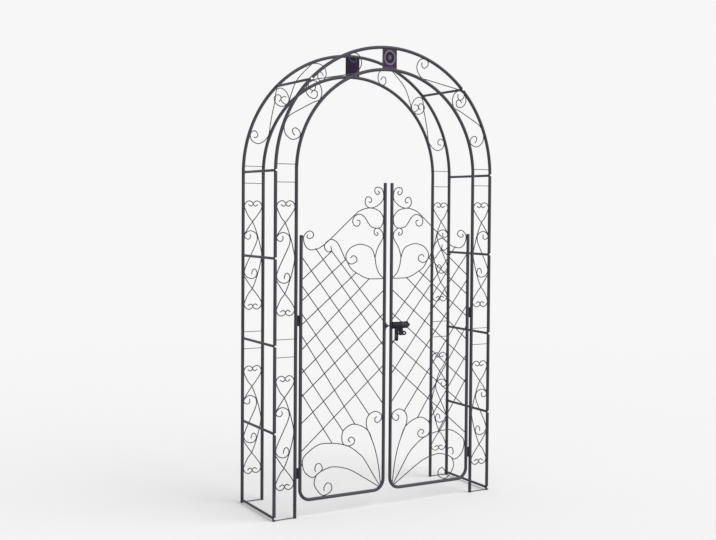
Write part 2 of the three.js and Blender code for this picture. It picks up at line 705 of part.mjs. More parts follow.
for (const side of sides) {
  for (const face of faces) {
    const place = `${side.name}_${face.name}`;
    arch.add(named(`${place}_lower_panel`, sidePanel(side.sign, face.sign, false), powderCoat));
    arch.add(named(`${place}_upper_panel`, sidePanel(side.sign, face.sign, true), powderCoat));
    arch.add(named(`${place}_arch_quarter`, archQuarter(side.sign, face.sign), powderCoat));
  }
  const crownRung = archPlace(side.sign, 1, archRungAngle, outerX);
  const rungHeights = [groundRungHeight, bay, 2 * bay, 3 * bay, 4 * bay];
  const rungs = rungHeights.map((z) => ({ x: side.sign * outerX, z }));
  rungs.push({ x: crownRung.x, z: crownRung.z });
  rungs.forEach(({ x, z }, index) => {
    arch.add(named(`${side.name}_rung_${index + 1}`, rung(x, z), powderCoat));
    arch.add(named(`${side.name}_rung_bolt_${index + 1}`, rungBolt(x, z), zinc));
  });
  arch.add(named(`${side.name}_leaf_frame`, leafTube(side.sign, 0), powderCoat));
  arch.add(named(`${side.name}_leaf_scrollwork`, leafInfill(side.sign), powderCoat));
  for (const [level, height] of [['lower', lowerHingeHeight], ['upper', upperHingeHeight]]) {
    arch.add(named(`${side.name}_${level}_hinge_pin`, hingePost(side.sign, height), powderCoat));
    arch.add(named(`${side.name}_${level}_hinge_knuckle`, hingeLeaf(side.sign, height), powderCoat));
  }
}

for (const face of faces) arch.add(named(`${face.name}_plaque`, plaque(face.sign), powderCoat));

arch.add(named('latch_backplate', latchBackplate(), blackLatch));
arch.add(named('latch_case', latchCase(), blackLatch));
arch.add(named('latch_bolt', latchBolt(), blackLatch));
arch.add(named('latch_keeper', latchKeeper(), blackLatch));
for (const screw of latchScrews) arch.add(named(`latch_screw_${screw.name}`, latchScrew(screw), zinc));

export default arch;
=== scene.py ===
# %% [markdown]
# # A scrolled garden arch with a pair of gates
# Two faces of bent steel tube stand one behind the other and are tied together by rungs. Thin
# scrolls fill each face, and two leaves with scrolls and a wire lattice hang between the front
# posts and close with a sliding latch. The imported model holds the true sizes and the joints.
# This lesson gives it round bars, weld beads, bolts and finishes, one kind of piece at a time,
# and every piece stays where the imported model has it.

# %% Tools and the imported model
import math

import bmesh
import bpy
from mathutils import Matrix, Vector


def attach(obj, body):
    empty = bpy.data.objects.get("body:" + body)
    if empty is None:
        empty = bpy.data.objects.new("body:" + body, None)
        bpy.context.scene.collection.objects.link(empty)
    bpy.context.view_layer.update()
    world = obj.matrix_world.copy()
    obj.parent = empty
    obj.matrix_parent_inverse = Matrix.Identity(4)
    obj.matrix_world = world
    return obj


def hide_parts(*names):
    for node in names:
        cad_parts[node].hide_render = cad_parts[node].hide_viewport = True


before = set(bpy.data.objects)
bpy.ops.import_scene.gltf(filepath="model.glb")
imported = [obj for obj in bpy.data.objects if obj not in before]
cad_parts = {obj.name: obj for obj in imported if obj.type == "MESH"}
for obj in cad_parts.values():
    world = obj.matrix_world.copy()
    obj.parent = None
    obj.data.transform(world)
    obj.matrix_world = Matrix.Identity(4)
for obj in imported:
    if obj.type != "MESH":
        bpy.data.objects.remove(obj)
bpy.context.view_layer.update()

# %% [markdown]
# ## Camera
# The arch was photographed from the left, at about chest height and from five metres away. Its
# posts look almost parallel, so the camera was nearly level and its picture was cut a little
# low, which a small shift gives back. The focal length was found in pixels of the picture, so
# it is turned into millimetres of Blender's sensor. Depth of field stays off.

# %% Camera
MM = 0.001
picture_width = 716
picture_middle_row = 270
optical_axis_row = 240
focal_length_in_pixels = 1088
camera_azimuth = math.radians(-29.56)
camera_pitch = math.radians(1.676)
camera_roll = math.radians(0.401)
camera_distance = 5079.2
camera_target = Vector((-60.7, 0, 1210.7))
sensor_width = 36
view_reach = 500


def placed(name, data):
    """An object that shows its data, linked into the scene at the origin."""
    made = bpy.data.objects.new(name, data)
    bpy.context.scene.collection.objects.link(made)
    return made


def aimed_camera():
    back = Vector((
        math.sin(camera_azimuth) * math.cos(camera_pitch),
        -math.cos(camera_azimuth) * math.cos(camera_pitch),
        math.sin(camera_pitch),
    ))
    level = Vector((math.cos(camera_azimuth), math.sin(camera_azimuth), 0))
    upright = back.cross(level)
    right = level * math.cos(camera_roll) + upright * math.sin(camera_roll)
    up = upright * math.cos(camera_roll) - level * math.sin(camera_roll)
    data = bpy.data.cameras.new("garden_camera")
    data.sensor_width = sensor_width
    data.lens = focal_length_in_pixels * sensor_width / picture_width
    data.shift_y = (optical_axis_row - picture_middle_row) / picture_width
    data.clip_end = view_reach
    camera = placed("garden_camera", data)
    turn = Matrix((right, up, back)).transposed().to_4x4()
    camera.matrix_world = Matrix.Translation((camera_target + back * camera_distance) * MM) @ turn
    return camera


bpy.context.scene.camera = aimed_camera()
print("lens:", round(bpy.context.scene.camera.data.lens, 2), "mm")

# %% [markdown]
# ## Node trees from Python
# Materials and Geometry Nodes are both trees of nodes. One small class holds a tree and adds
# any node to it with one method: the node's settings come first, because they decide which
# sockets it has, and then the values or links of its sockets. A second class wraps an output,
# so that shader maths can be written as Python does, such as 0.3 + 0.2 * grain. Trees could
# also be drawn by hand in the editor, but a script builds them the same way every time.

# %% Outputs of nodes
class Signal:
    """One output of a node, which can be added to and multiplied."""

    def __init__(self, graph, socket):
        self.graph = graph
        self.socket = socket

    def math(self, operation, first, second):
        return self.graph.node("ShaderNodeMath", {"operation": operation}, {0: first, 1: second})

    def __add__(self, other):
        return self.math("ADD", self, other)

    def __radd__(self, other):
        return self.math("ADD", other, self)

    def __mul__(self, other):
        return self.math("MULTIPLY", self, other)

    def __rmul__(self, other):
        return self.math("MULTIPLY", other, self)


print("signals can be added and multiplied")

# %% Trees of nodes
class Graph:
    """A tree of nodes that is filled by one method."""

    def __init__(self, tree):
        self.tree = tree
        tree.nodes.clear()

    def node(self, kind, settings=None, sockets=None, output=0):
        """Adds a node and gives back one of its outputs, by name or by number."""
        made = self.tree.nodes.new(kind)
        for name, value in (settings or {}).items():
            if name == "stops":
                self.set_stops(made.color_ramp, value)
            else:
                setattr(made, name, value)
        for name, value in (sockets or {}).items():
            self.fill(self.find(made.inputs, name), value)
        outputs = [socket for socket in made.outputs if socket.enabled]
        return Signal(self, self.find(outputs, output)) if outputs else None

    def find(self, sockets, name):
        usable = [socket for socket in sockets if socket.enabled]
        if isinstance(name, int):
            return usable[name]
        return next(socket for socket in usable if socket.name == name)

    def fill(self, socket, value):
        """Links a signal, or a list of them, to a socket, or sets the socket's own value."""
        if isinstance(value, list):
            for item in value:
                self.tree.links.new(item.socket, socket)
        elif isinstance(value, Signal):
            self.tree.links.new(value.socket, socket)
        else:
            socket.default_value = value

    def set_stops(self, ramp, stops):
        """Sets the two stops of a new ramp, each a position and a shade of grey."""
        for element, (position, shade) in zip(ramp.elements, stops):
            element.position = position
            element.color = (shade, shade, shade, 1)


print("node tools ready")

# %% [markdown]
# ## Pale studio
# The object stands on a plain pale floor in even light, as in a catalogue picture. A bright
# world gives soft light from all round and is mirrored in the dark tubes. One sun with a wide
# disc adds a little direction and a faint soft shadow, and unlike a lamp close by it lights
# the whole floor evenly, so its far edge melts into the backdrop. All finishes start from the
# same few nodes, so small helpers make those.

# %% World and sun
world_level = 0.93
sun_power = 3
sun_azimuth = math.radians(40)
sun_elevation = math.radians(35)
sun_disc = math.radians(60)


def grey(level, warmth=0.0):
    """A colour near grey: warmth above nought leans to red, and below it to blue."""
    return (level * (1 + warmth), level, level * (1 - warmth), 1)


def pale_world():
    world = bpy.data.worlds.new("pale_studio")
    world.use_nodes = True
    graph = Graph(world.node_tree)
    light = graph.node("ShaderNodeBackground", {}, {"Color": grey(world_level)})
    graph.node("ShaderNodeOutputWorld", {}, {"Surface": light})
    return world


def soft_sun():
    data = bpy.data.lights.new("key_sun", "SUN")
    data.energy = sun_power
    data.angle = sun_disc
    lamp = placed("key_sun", data)
    towards = Vector((
        math.sin(sun_azimuth) * math.cos(sun_elevation),
        -math.cos(sun_azimuth) * math.cos(sun_elevation),
        math.sin(sun_elevation),
    ))
    lamp.rotation_euler = towards.to_track_quat("Z", "Y").to_euler()
    return lamp


bpy.context.scene.world = pale_world()
bpy.context.scene.view_settings.view_transform = "Standard"
sun = soft_sun()
print("lit by", sun.name, "and a world of", world_level)

# %% Nodes that finishes share
def new_finish(name):
    """An empty material, its graph, and the place of every point in the object's own frame."""
    material = bpy.data.materials.new(name)
    material.use_nodes = True
    graph = Graph(material.node_tree)
    return material, graph, graph.node("ShaderNodeTexCoord", {}, {}, "Object")


def noise(graph, spot, scale, detail):
    return graph.node("ShaderNodeTexNoise", {}, {"Vector": spot, "Scale": scale, "Detail": detail})


def mixed(graph, factor, first, second):
    """The first colour where the factor is nought and the second where it is one."""
    return graph.node("ShaderNodeMix", {"data_type": "RGBA"}, {"Factor": factor, "A": first, "B": second})


def coated(graph, sockets):
    """Ends a material in one shader with these sockets."""
    shader = graph.node("ShaderNodeBsdfPrincipled", {}, sockets)
    graph.node("ShaderNodeOutputMaterial", {}, {"Surface": shader})


print("finish helpers ready")

# %% Pale floor
near_floor_level = 0.620
far_floor_level = 0.629
near_distance = 1
far_distance = 9
floor_reach = 150
floor_clouds = 1.5
floor_cloud_share = 0.4
floor_roughness = 0.9


def pale_floor():
    material, graph, spot = new_finish("pale_floor_paint")
    away = graph.node("ShaderNodeVectorMath", {"operation": "LENGTH"}, {0: spot}, "Value")
    cloud = noise(graph, spot, floor_clouds, detail=3)
    reach = graph.node("ShaderNodeMapRange", {"interpolation_type": "SMOOTHSTEP"}, {
        "Value": away + floor_cloud_share * cloud, "From Min": near_distance, "From Max": far_distance,
    })
    tint = mixed(graph, reach, grey(near_floor_level), grey(far_floor_level))
    coated(graph, {"Base Color": tint, "Roughness": floor_roughness, "Specular IOR Level": 0})
    mesh = bpy.data.meshes.new("pale_floor")
    ends = [(-1, -1), (1, -1), (1, 1), (-1, 1)]
    mesh.from_pydata([(x * floor_reach, y * floor_reach, 0) for x, y in ends], [], [(0, 1, 2, 3)])
    mesh.materials.append(material)
    floor = placed("pale_floor", mesh)
    return floor


floor = pale_floor()
print("floor:", floor.name, "reaching", floor_reach, "m each way")

# %% [markdown]
# ## Charcoal powder coat
# The whole frame is powder coated: a dry powder is melted on to the steel and sets as a tough
# skin with a satin sheen and a fine pebbled surface, like the peel of an orange. The colour is
# a charcoal with a touch of violet. A dark base colour with a middling roughness gives the
# sheen, a broad noise makes the batch uneven, and faces that look up hold a thin film of dust.
# The pebbles are a tenth of a millimetre high, far too fine for real faces, so a noise in a
# Bump node gives them. A lighter shade is mixed in where the mesh carries an attribute for it,
# which only the raised parts of the plaques do: a painted highlight on those raised parts,
# together with rubbed wear. The plaques' field is a darker, duller batch of the same coat. The
# hinges take a darker batch too, as painted shade for the shade that falls between the tubes.

# %% Charcoal powder coat
batch_scale = 7
grain_scale = 160
pebble_scale = 900
pebble_strength = 0.35
pebble_height = 0.0001
dust_slopes = [(0.45, 0), (0.95, 1)]
dust_share = 0.16
dust_shade = (0.150, 0.145, 0.135, 1)
highlit_worn_least = 0.55
highlit_worn_grain = 0.5
coat_roughness = 0.33
coat_roughness_grain = 0.16
coat_roughness_batch = 0.10


def bumps(graph, strength, depth, height):
    """A normal that is tilted as if the surface stood out by the height times the depth."""
    return graph.node("ShaderNodeBump", {}, {"Strength": strength, "Distance": depth, "Height": height})


def powder_coat(name, dark, light, highlit_worn_shade, shine):
    material, graph, spot = new_finish(name)
    broad = noise(graph, spot, batch_scale, detail=4)
    fine = noise(graph, spot, grain_scale, detail=3)
    peel = noise(graph, spot, pebble_scale, detail=2)
    normal = graph.node("ShaderNodeNewGeometry", {}, {}, "Normal")
    up = graph.node("ShaderNodeSeparateXYZ", {}, {"Vector": normal}, "Z")
    dust = graph.node("ShaderNodeValToRGB", {"stops": dust_slopes}, {"Fac": up})
    batch = mixed(graph, broad, dark, light)
    dusted = mixed(graph, dust * fine * dust_share, batch, dust_shade)
    # Where the attribute is set, a lighter shade is mixed in: a painted highlight on the plaques' raised
    # parts, with rubbed wear.
    raised = graph.node("ShaderNodeAttribute", {"attribute_name": "rubbed"}, {}, "Fac")
    rubbed = mixed(graph, raised * (highlit_worn_least + highlit_worn_grain * fine), dusted, highlit_worn_shade)
    coated(graph, {
        "Base Color": rubbed,
        "Roughness": coat_roughness + coat_roughness_grain * fine + coat_roughness_batch * broad,
        "Specular IOR Level": shine,
        "Normal": bumps(graph, pebble_strength, pebble_height, peel),
    })
    return material


coat = powder_coat(
    "charcoal_powder_coat", dark=(0.028, 0.026, 0.036, 1), light=(0.045, 0.042, 0.055, 1),
    highlit_worn_shade=(0.135, 0.125, 0.150, 1), shine=0.2,
)
# The plaques' raised parts take the lighter shade, a painted highlight with rubbed wear.
plaque_coat = powder_coat(
    "highlit_and_worn_plaque_coat", dark=(0.008, 0.005, 0.016, 1), light=(0.018, 0.012, 0.032, 1),
    highlit_worn_shade=(0.170, 0.145, 0.190, 1), shine=0.06,
)
# The hinges' darker coat is painted shade, for the shade that falls between the tubes.
painted_shade_knuckle_coat = powder_coat(
    "knuckle_coat_with_painted_shade", dark=(0.012, 0.011, 0.016, 1), light=(0.022, 0.020, 0.028, 1),
    highlit_worn_shade=(0.080, 0.075, 0.090, 1), shine=0.1,
)
print("finishes:", coat.name, plaque_coat.name, painted_shade_knuckle_coat.name)

# %% [markdown]
# ## Latch black and zinc
# The latch is a bought part of cast and pressed steel with a blacker paint, a little worn where
# hands rub it, and its keeper is a lighter grey. A wear ramp on a patchy noise is enough here,
# because the latch is small in the picture. The bolts and screws are zinc plated, which is
# bright and slightly mottled. Plating crystallises in small patches, so a Voronoi texture
# varies its colour, and a fine noise its roughness.

# %% Latch black and zinc
cast_scale = 420
cast_strength = 0.4
cast_height = 0.00015
wear_scale = 55
wear_slopes = [(0.58, 0), (0.72, 1)]
wear_share = 0.8
latch_roughness = 0.30
latch_roughness_patch = 0.25
mottle_scale = 700
scratch_scale = 1500
scratch_strength = 0.2
scratch_depth = 0.00005
zinc_roughness = 0.26
zinc_roughness_grain = 0.22


def latch_paint(name, dark, light, shine):
    material, graph, spot = new_finish(name)
    grain = noise(graph, spot, cast_scale, detail=4)
    patch = noise(graph, spot, wear_scale, detail=5)
    lightening = graph.node("ShaderNodeValToRGB", {"stops": wear_slopes}, {"Fac": patch})
    coated(graph, {
        "Base Color": mixed(graph, lightening * grain * wear_share, dark, light),
        "Roughness": latch_roughness + latch_roughness_patch * patch,
        "Specular IOR Level": shine,
        "Normal": bumps(graph, cast_strength, cast_height, grain),
    })
    return material


def zinc_plate(name, dark, light):
    material, graph, spot = new_finish(name)
    mottle = graph.node("ShaderNodeTexVoronoi", {}, {"Vector": spot, "Scale": mottle_scale}, "Distance")
    fine = noise(graph, spot, scratch_scale, detail=2)
    coated(graph, {
        "Base Color": mixed(graph, mottle, dark, light),
        "Metallic": 1,
        "Roughness": zinc_roughness + zinc_roughness_grain * fine,
        "Normal": bumps(graph, scratch_strength, scratch_depth, fine),
    })
    return material


latch_black = latch_paint(
    "worn_latch_black", dark=(0.0080, 0.0055, 0.0130, 1), light=(0.110, 0.095, 0.125, 1), shine=0.14,
)
keeper_grey = latch_paint(
    "keeper_grey", dark=(0.040, 0.033, 0.044, 1), light=(0.120, 0.105, 0.130, 1), shine=0.2,
)
zinc = zinc_plate("mottled_zinc", dark=grey(0.58, warmth=-0.02), light=grey(0.78, warmth=-0.01))
dull_zinc = zinc_plate("dulled_zinc", dark=grey(0.14), light=grey(0.24))
print("finishes:", latch_black.name, keeper_grey.name, zinc.name, dull_zinc.name)

# %% [markdown]
# ## Sizes
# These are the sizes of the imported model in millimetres, so every piece can be drawn in its
# place. The arch is four pairs of tubes: a pair is an outer and an inner tube, 100 mm apart,
# that run up as straight posts and over as two half rounds about one centre.

# %% Sizes of the arch
overall_width = 1150
overall_depth = 360
overall_height = 2095
tube_diameter = 15
pair_pitch = 100
rung_diameter = 11.5
scroll_diameter = 4.4
tie_diameter = 3
ground_tie_diameter = 4
fit_gap = 0.3
socket_depth = 40
spigot_diameter = 9.4
tie_below_joint = 50
tie_above_joint = 28
ground_tie_height = 2.5
ground_rung_height = 12
bays_up = 4

tube_radius = tube_diameter / 2
outer_x = overall_width / 2 - tube_radius
inner_x = outer_x - pair_pitch
pair_middle = (outer_x + inner_x) / 2
face_y = overall_depth / 2 - tube_radius
spring_height = overall_height - tube_radius - outer_x
bay = spring_height / bays_up
arch_rung_angle = math.pi / 4
SIDES = {"left": -1, "right": 1}
FACES = {"front": -1, "back": 1}
print("springing at", spring_height, "mm, bays of", bay, "mm")

# %% [markdown]
# ## Round bars along a path
# Tubes, scrolls, ties and lattice wires are all round bars that follow a path, so one Geometry
# Nodes tree makes them all. A mesh of bare edges marks the stations of each bar. The tree turns
# the edges into curves, rounds them with a Catmull-Rom spline, which passes through every
# station as a bent bar does, and sweeps a circle along them. A curve object with a round bevel
# would also do, but a tree takes all bars of a piece at once, and each station carries a share
# of the full thickness, so an end can narrow into a filed rim or step down to a plug. The
# tree's sizes are named inputs, and new_from_object turns its result into a plain mesh.

# %% Geometry Nodes trees
def geometry_graph(name, inputs):
    """A Geometry Nodes tree with named inputs. Gives back its graph and the inputs' signals."""
    tree = bpy.data.node_groups.new(name, "GeometryNodeTree")
    tree.interface.new_socket("Stations", in_out="INPUT", socket_type="NodeSocketGeometry")
    for title, kind in inputs.items():
        tree.interface.new_socket(title, in_out="INPUT", socket_type="NodeSocket" + kind)
    tree.interface.new_socket("Shape", in_out="OUTPUT", socket_type="NodeSocketGeometry")
    graph = Graph(tree)
    entry = tree.nodes.new("NodeGroupInput")
    return graph, {socket.name: Signal(graph, socket) for socket in entry.outputs if socket.name}


def end_tree(graph, shape, finish):
    """Every tree ends in real, finished faces, because instances are lost on export."""
    real = graph.node("GeometryNodeRealizeInstances", {}, {"Geometry": shape})
    finished = graph.node("GeometryNodeSetMaterial", {}, {"Geometry": real, "Material": finish})
    graph.node("NodeGroupOutput", {}, {"Shape": finished})


def stored(graph, name, kind):
    """Reads an attribute that every station carries."""
    return graph.node("GeometryNodeInputNamedAttribute", {"data_type": kind}, {"Name": name})


print("tree helpers ready")

# %% Running a tree
crisp_angle = math.radians(50)
rounding_segments = 2


def settled(host):
    """The plain mesh that an object's modifiers or curves end in. The object itself goes."""
    evaluated = host.evaluated_get(bpy.context.evaluated_depsgraph_get())
    result = bpy.data.meshes.new_from_object(evaluated)
    bpy.data.objects.remove(host)
    return result


def run_tree(graph, stations, values, rounding=0):
    """Runs a tree on a mesh of stations, rounds its edges if asked, and keeps a plain mesh."""
    host = placed("stations", stations)
    modifier = host.modifiers.new("tree", "NODES")
    modifier.node_group = graph.tree
    for item in graph.tree.interface.items_tree:
        if item.in_out == "INPUT" and item.name in values:
            modifier[item.identifier] = values[item.name]
    if rounding:
        bevel = host.modifiers.new("rounding", "BEVEL")
        bevel.width = rounding * MM
        bevel.segments = rounding_segments
        bevel.limit_method = "ANGLE"
        bevel.angle_limit = crisp_angle
    result = settled(host)
    bpy.data.meshes.remove(stations)
    return result


def add_attribute(mesh, name, kind, values):
    """Stores a number, or a vector, for each station."""
    field = "value" if kind == "FLOAT" else "vector"
    flat = values if kind == "FLOAT" else [number for vector in values for number in vector]
    mesh.attributes.new(name, kind, "POINT").data.foreach_set(field, flat)


print("roundings have", rounding_segments, "segments")

# %% The tree of round bars
unit_radius = 0.5


def round_bar_tree():
    graph, ports = geometry_graph("round_bars", {
        "Diameter": "Float", "Sides": "Int", "Steps": "Int", "Finish": "Material",
    })
    path = graph.node("GeometryNodeMeshToCurve", {}, {"Mesh": ports["Stations"]})
    bent = graph.node("GeometryNodeCurveSplineType", {"spline_type": "CATMULL_ROM"}, {"Curve": path})
    eased = graph.node("GeometryNodeSetSplineResolution", {}, {
        "Geometry": bent, "Resolution": ports["Steps"],
    })
    section = graph.node("GeometryNodeCurvePrimitiveCircle", {}, {
        "Resolution": ports["Sides"], "Radius": unit_radius,
    })
    share = stored(graph, "thickness", "FLOAT")
    bar = graph.node("GeometryNodeCurveToMesh", {}, {
        "Curve": eased,
        "Profile Curve": section,
        "Scale": share * ports["Diameter"],
        "Fill Caps": True,
    })
    smooth = graph.node("GeometryNodeSetShadeSmooth", {}, {"Geometry": bar})
    end_tree(graph, smooth, ports["Finish"])
    return graph


round_bars = round_bar_tree()
print("round bar tree:", len(round_bars.tree.nodes), "nodes")

# %% Bars along paths
def bars(paths, diameter, sides, steps=1, finish=coat):
    """Round bars along paths of stations, each a place in millimetres and a share of thickness."""
    mesh = bpy.data.meshes.new("paths")
    places, edges, shares = [], [], []
    for path in paths:
        first = len(places)
        places += [place * MM for place, _ in path]
        shares += [share for _, share in path]
        edges += [(index, index + 1) for index in range(first, len(places) - 1)]
    mesh.from_pydata(places, edges, [])
    add_attribute(mesh, "thickness", "FLOAT", shares)
    values = {"Diameter": diameter * MM, "Sides": sides, "Steps": steps, "Finish": finish}
    return run_tree(round_bars, mesh, values)


def with_rims(points, diameter, rim, rings=3):
    """A path whose two ends narrow in a quarter round, as the filed rim of a bar does."""

    def end(place, inner):
        along = (inner - place).normalized()
        turns = [index / rings * math.pi / 2 for index in range(rings + 1)]
        return [
            (place + along * rim * (1 - math.cos(turn)), 1 - 2 * rim * (1 - math.sin(turn)) / diameter)
            for turn in turns
        ]

    middle = [(point, 1) for point in points[1:-1]]
    return end(points[0], points[1]) + middle + end(points[-1], points[-2])[::-1]


print("bars are swept by the tree", round_bars.tree.name)

# %% [markdown]
# ## Weld beads
# Where a scroll touches a tube or another scroll, a small bead of weld holds them, and the
# powder coat runs over it. There are several hundred, far too many to place by hand, so each
# is one low sphere, stretched and turned by the attributes of its station and put there by
# Instance on Points. A random number with a fixed seed makes no two beads quite alike.

# %% The tree of weld beads
bead_seed = 7
bead_smallest = 0.85
bead_largest = 1.15
bead_segments = 8
bead_rings = 5


def weld_bead_tree():
    graph, ports = geometry_graph("weld_beads", {
        "Smallest": "Float", "Largest": "Float", "Seed": "Int", "Finish": "Material",
    })
    bead = graph.node("GeometryNodeMeshUVSphere", {}, {
        "Segments": bead_segments, "Rings": bead_rings, "Radius": unit_radius,
    })
    spread = stored(graph, "spread", "FLOAT_VECTOR")
    turn = stored(graph, "turn", "FLOAT_VECTOR")
    chance = graph.node("FunctionNodeRandomValue", {"data_type": "FLOAT"}, {
        "Min": ports["Smallest"], "Max": ports["Largest"], "Seed": ports["Seed"],
    })
    size = graph.node("ShaderNodeVectorMath", {"operation": "SCALE"}, {"Vector": spread, "Scale": chance})
    beads = graph.node("GeometryNodeInstanceOnPoints", {}, {
        "Points": ports["Stations"], "Instance": bead, "Rotation": turn, "Scale": size,
    })
    smooth = graph.node("GeometryNodeSetShadeSmooth", {}, {"Geometry": beads})
    end_tree(graph, smooth, ports["Finish"])
    return graph


def weld_beads(spots, finish=coat):
    """Beads at spots, each a place, its widths in millimetres and a tilt about the depth axis."""
    mesh = bpy.data.meshes.new("spots")
    mesh.from_pydata([place * MM for place, _, _ in spots], [], [])
    add_attribute(mesh, "spread", "FLOAT_VECTOR", [Vector(spread) * MM for _, spread, _ in spots])
    add_attribute(mesh, "turn", "FLOAT_VECTOR", [(0, tilt, 0) for _, _, tilt in spots])
    values = {"Smallest": bead_smallest, "Largest": bead_largest, "Seed": bead_seed, "Finish": finish}
    return run_tree(bead_tree, mesh, values)


bead_tree = weld_bead_tree()
print("weld bead tree:", len(bead_tree.tree.nodes), "nodes")

# %% [markdown]
# ## Putting pieces together
# A welded part of the real arch is one object, so the meshes of its bars and beads are joined
# into one mesh. Then it is parented to the body it moves with and takes its finish, and the
# nodes of the imported model that it stands for are hidden. Edges sharper than 50 degrees stay
# crisp and all others are shaded smooth. The signed volume is printed, because a mesh whose
# faces point outwards has a positive one.

# %% Putting pieces together
cubic_cm_in_a_cubic_metre = 1e6
made_pieces = []


def mesh_of(shape, name):
    """Keeps a bmesh as a mesh and frees it."""
    mesh = bpy.data.meshes.new(name)
    shape.to_mesh(mesh)
    shape.free()
    return mesh


def finished_piece(name, parts, body, finish, nodes=()):
    """Joins meshes into one piece that rides on a body and stands for nodes."""
    shape = bmesh.new()
    for part in parts:
        shape.from_mesh(part)
        bpy.data.meshes.remove(part)
    volume = shape.calc_volume(signed=True)
    mesh = mesh_of(shape, name)
    mesh.materials.clear()
    mesh.materials.append(finish)
    mesh.shade_smooth()
    mesh.set_sharp_from_angle(angle=crisp_angle)
    piece = placed(name, mesh)
    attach(piece, body)
    if nodes:
        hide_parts(*nodes)
    made_pieces.append(piece)
    volume *= cubic_cm_in_a_cubic_metre
    print(f"{name}: {len(mesh.polygons)} faces, {volume:.1f} cm3, on {body}")


print("crisp above", round(math.degrees(crisp_angle)), "degrees")

# %% [markdown]
# ## Scrolls of the side panels
# Every panel has one long bow, two short scrolls and one S, all 4.4 mm wire bent cold round a
# jig. They could be drawn by hand as curves in each panel, but then every panel would differ.
# So each is a list of stations in shares: across, of the distance between the two tubes, and
# upwards, of the bay between two rungs. A station that two scrolls share is a place where
# they are welded, and so is a station that lies against a tube.

# %% Scrolls of the side panels
half_bow_shares = [
    (0.23, 0.61), (0.1, 0.593), (0, 0.623), (0.15, 0.655), (0.33, 0.643), (0.43, 0.598), (0.38, 0.546),
    (0.21, 0.46), (0.03, 0.404), (-0.17, 0.28), (-0.33, 0.141), (-0.43, 0),
]
short_scroll_shares = [
    (-0.23, 0.61), (-0.1, 0.593), (0, 0.623), (-0.15, 0.655), (-0.33, 0.643), (-0.43, 0.598),
    (-0.38, 0.546), (-0.16, 0.465), (0.03, 0.404), (0.22, 0.338), (0.44, 0.25),
]
ess_scroll_shares = [
    (0.15, 0.252), (0.13, 0.225), (0.17, 0.202), (0.27, 0.194), (0.38, 0.207), (0.43, 0.238),
    (0.32, 0.277), (0.13, 0.295), (-0.1, 0.273), (-0.2, 0.228), (-0.17, 0.154), (0.09, 0.012),
    (0.32, -0.11), (0.43, -0.2), (0.32, -0.258), (0.1, -0.283), (-0.1, -0.271), (-0.2, -0.23),
    (-0.17, -0.188), (-0.07, -0.169), (0.03, -0.188), (0.06, -0.23),
]
against_tube = 0.42
wire_rim = 0.5
wire_sides = 10
wire_steps = 6
tube_sides = 24
tube_rim = 0.7


def upside_down(scroll):
    return [(across, -rise) for across, rise in scroll]


def shared_stations(scrolls):
    """The stations at which two scrolls meet, each once."""
    seen, met = set(), []
    for scroll in scrolls:
        for station in dict.fromkeys(scroll):
            if station in seen and station not in met:
                met.append(station)
            seen.add(station)
    return met


def wires(paths, diameter=scroll_diameter, steps=wire_steps):
    """Bars of wire with filed ends. Straight wire needs one step only."""
    rounded_ends = [with_rims(path, diameter, wire_rim, 1) for path in paths]
    return bars(rounded_ends, diameter, wire_sides, steps)


bow_shares = half_bow_shares + upside_down(half_bow_shares[-2::-1])
panel_scrolls = [bow_shares, short_scroll_shares, upside_down(short_scroll_shares), ess_scroll_shares]
print("stations shared in a panel:", shared_stations(panel_scrolls))

# %% [markdown]
# ## Welded side panels
# A side panel is two straight tubes with the scrolls and two thin ties welded between them.
# The lower panels stand on the ground, and the upper ones plug into them: each tube ends below
# in a thinner plug, 40 mm long, which a socket hides. Only the fine dark line of the joint
# shows, so each tube's ends are drawn with a small round rim. The eight panels are the same
# but for their place and their foot, so one function makes them in a loop.

# %% Tubes with plugs, and ties
plug_share = spigot_diameter / tube_diameter
plug_step = fit_gap / 10
tie_sink = 1
tie_bead = (2.4, 4.6, 4.6)


def tube_path(points, plug_end=None):
    """A tube's stations, with a plug before the first of them where it has one."""
    path = with_rims(points, tube_diameter, tube_rim)
    if plug_end is None:
        return path
    back = (plug_end - points[0]).normalized() * plug_step
    return [(plug_end, plug_share), (points[0] + back, plug_share)] + path


def tie(side, face, height, diameter):
    edges = [inner_x + tube_radius - tie_sink, outer_x - tube_radius + tie_sink]
    return wires([[Vector((side * x, face * face_y, height)) for x in edges]], diameter)


def tie_beads(side, face, height):
    edges = [inner_x + tube_radius, outer_x - tube_radius]
    return [(Vector((side * x, face * face_y, height)), tie_bead, 0) for x in edges]


print("a plug is", round(plug_share, 2), "of its tube's width")

# %% Places and beads of a panel
tube_bead = (3.2, 4.6, 8.5)
panel_wire_bead = (4.4, 4.4, 4.8)


def panel_place(side, face, level, station):
    """A station of a panel in millimetres. The level is the panel's middle."""
    across, rise = station
    return Vector((side * (pair_middle + across * pair_pitch), face * face_y, level + rise * bay))


def panel_beads(side, face, level):
    spots = []
    for scroll in panel_scrolls:
        for across, rise in scroll:
            if abs(across) > against_tube:
                edge = math.copysign(0.5 - tube_radius / pair_pitch, across)
                spots.append((panel_place(side, face, level, (edge, rise)), tube_bead, 0))
    for station in shared_stations(panel_scrolls):
        spots.append((panel_place(side, face, level, station), panel_wire_bead, 0))
    return spots


print("scroll beads in a panel:", len(panel_beads(1, 1, bay)))

# %% Welded side panels
bays_a_panel = 2


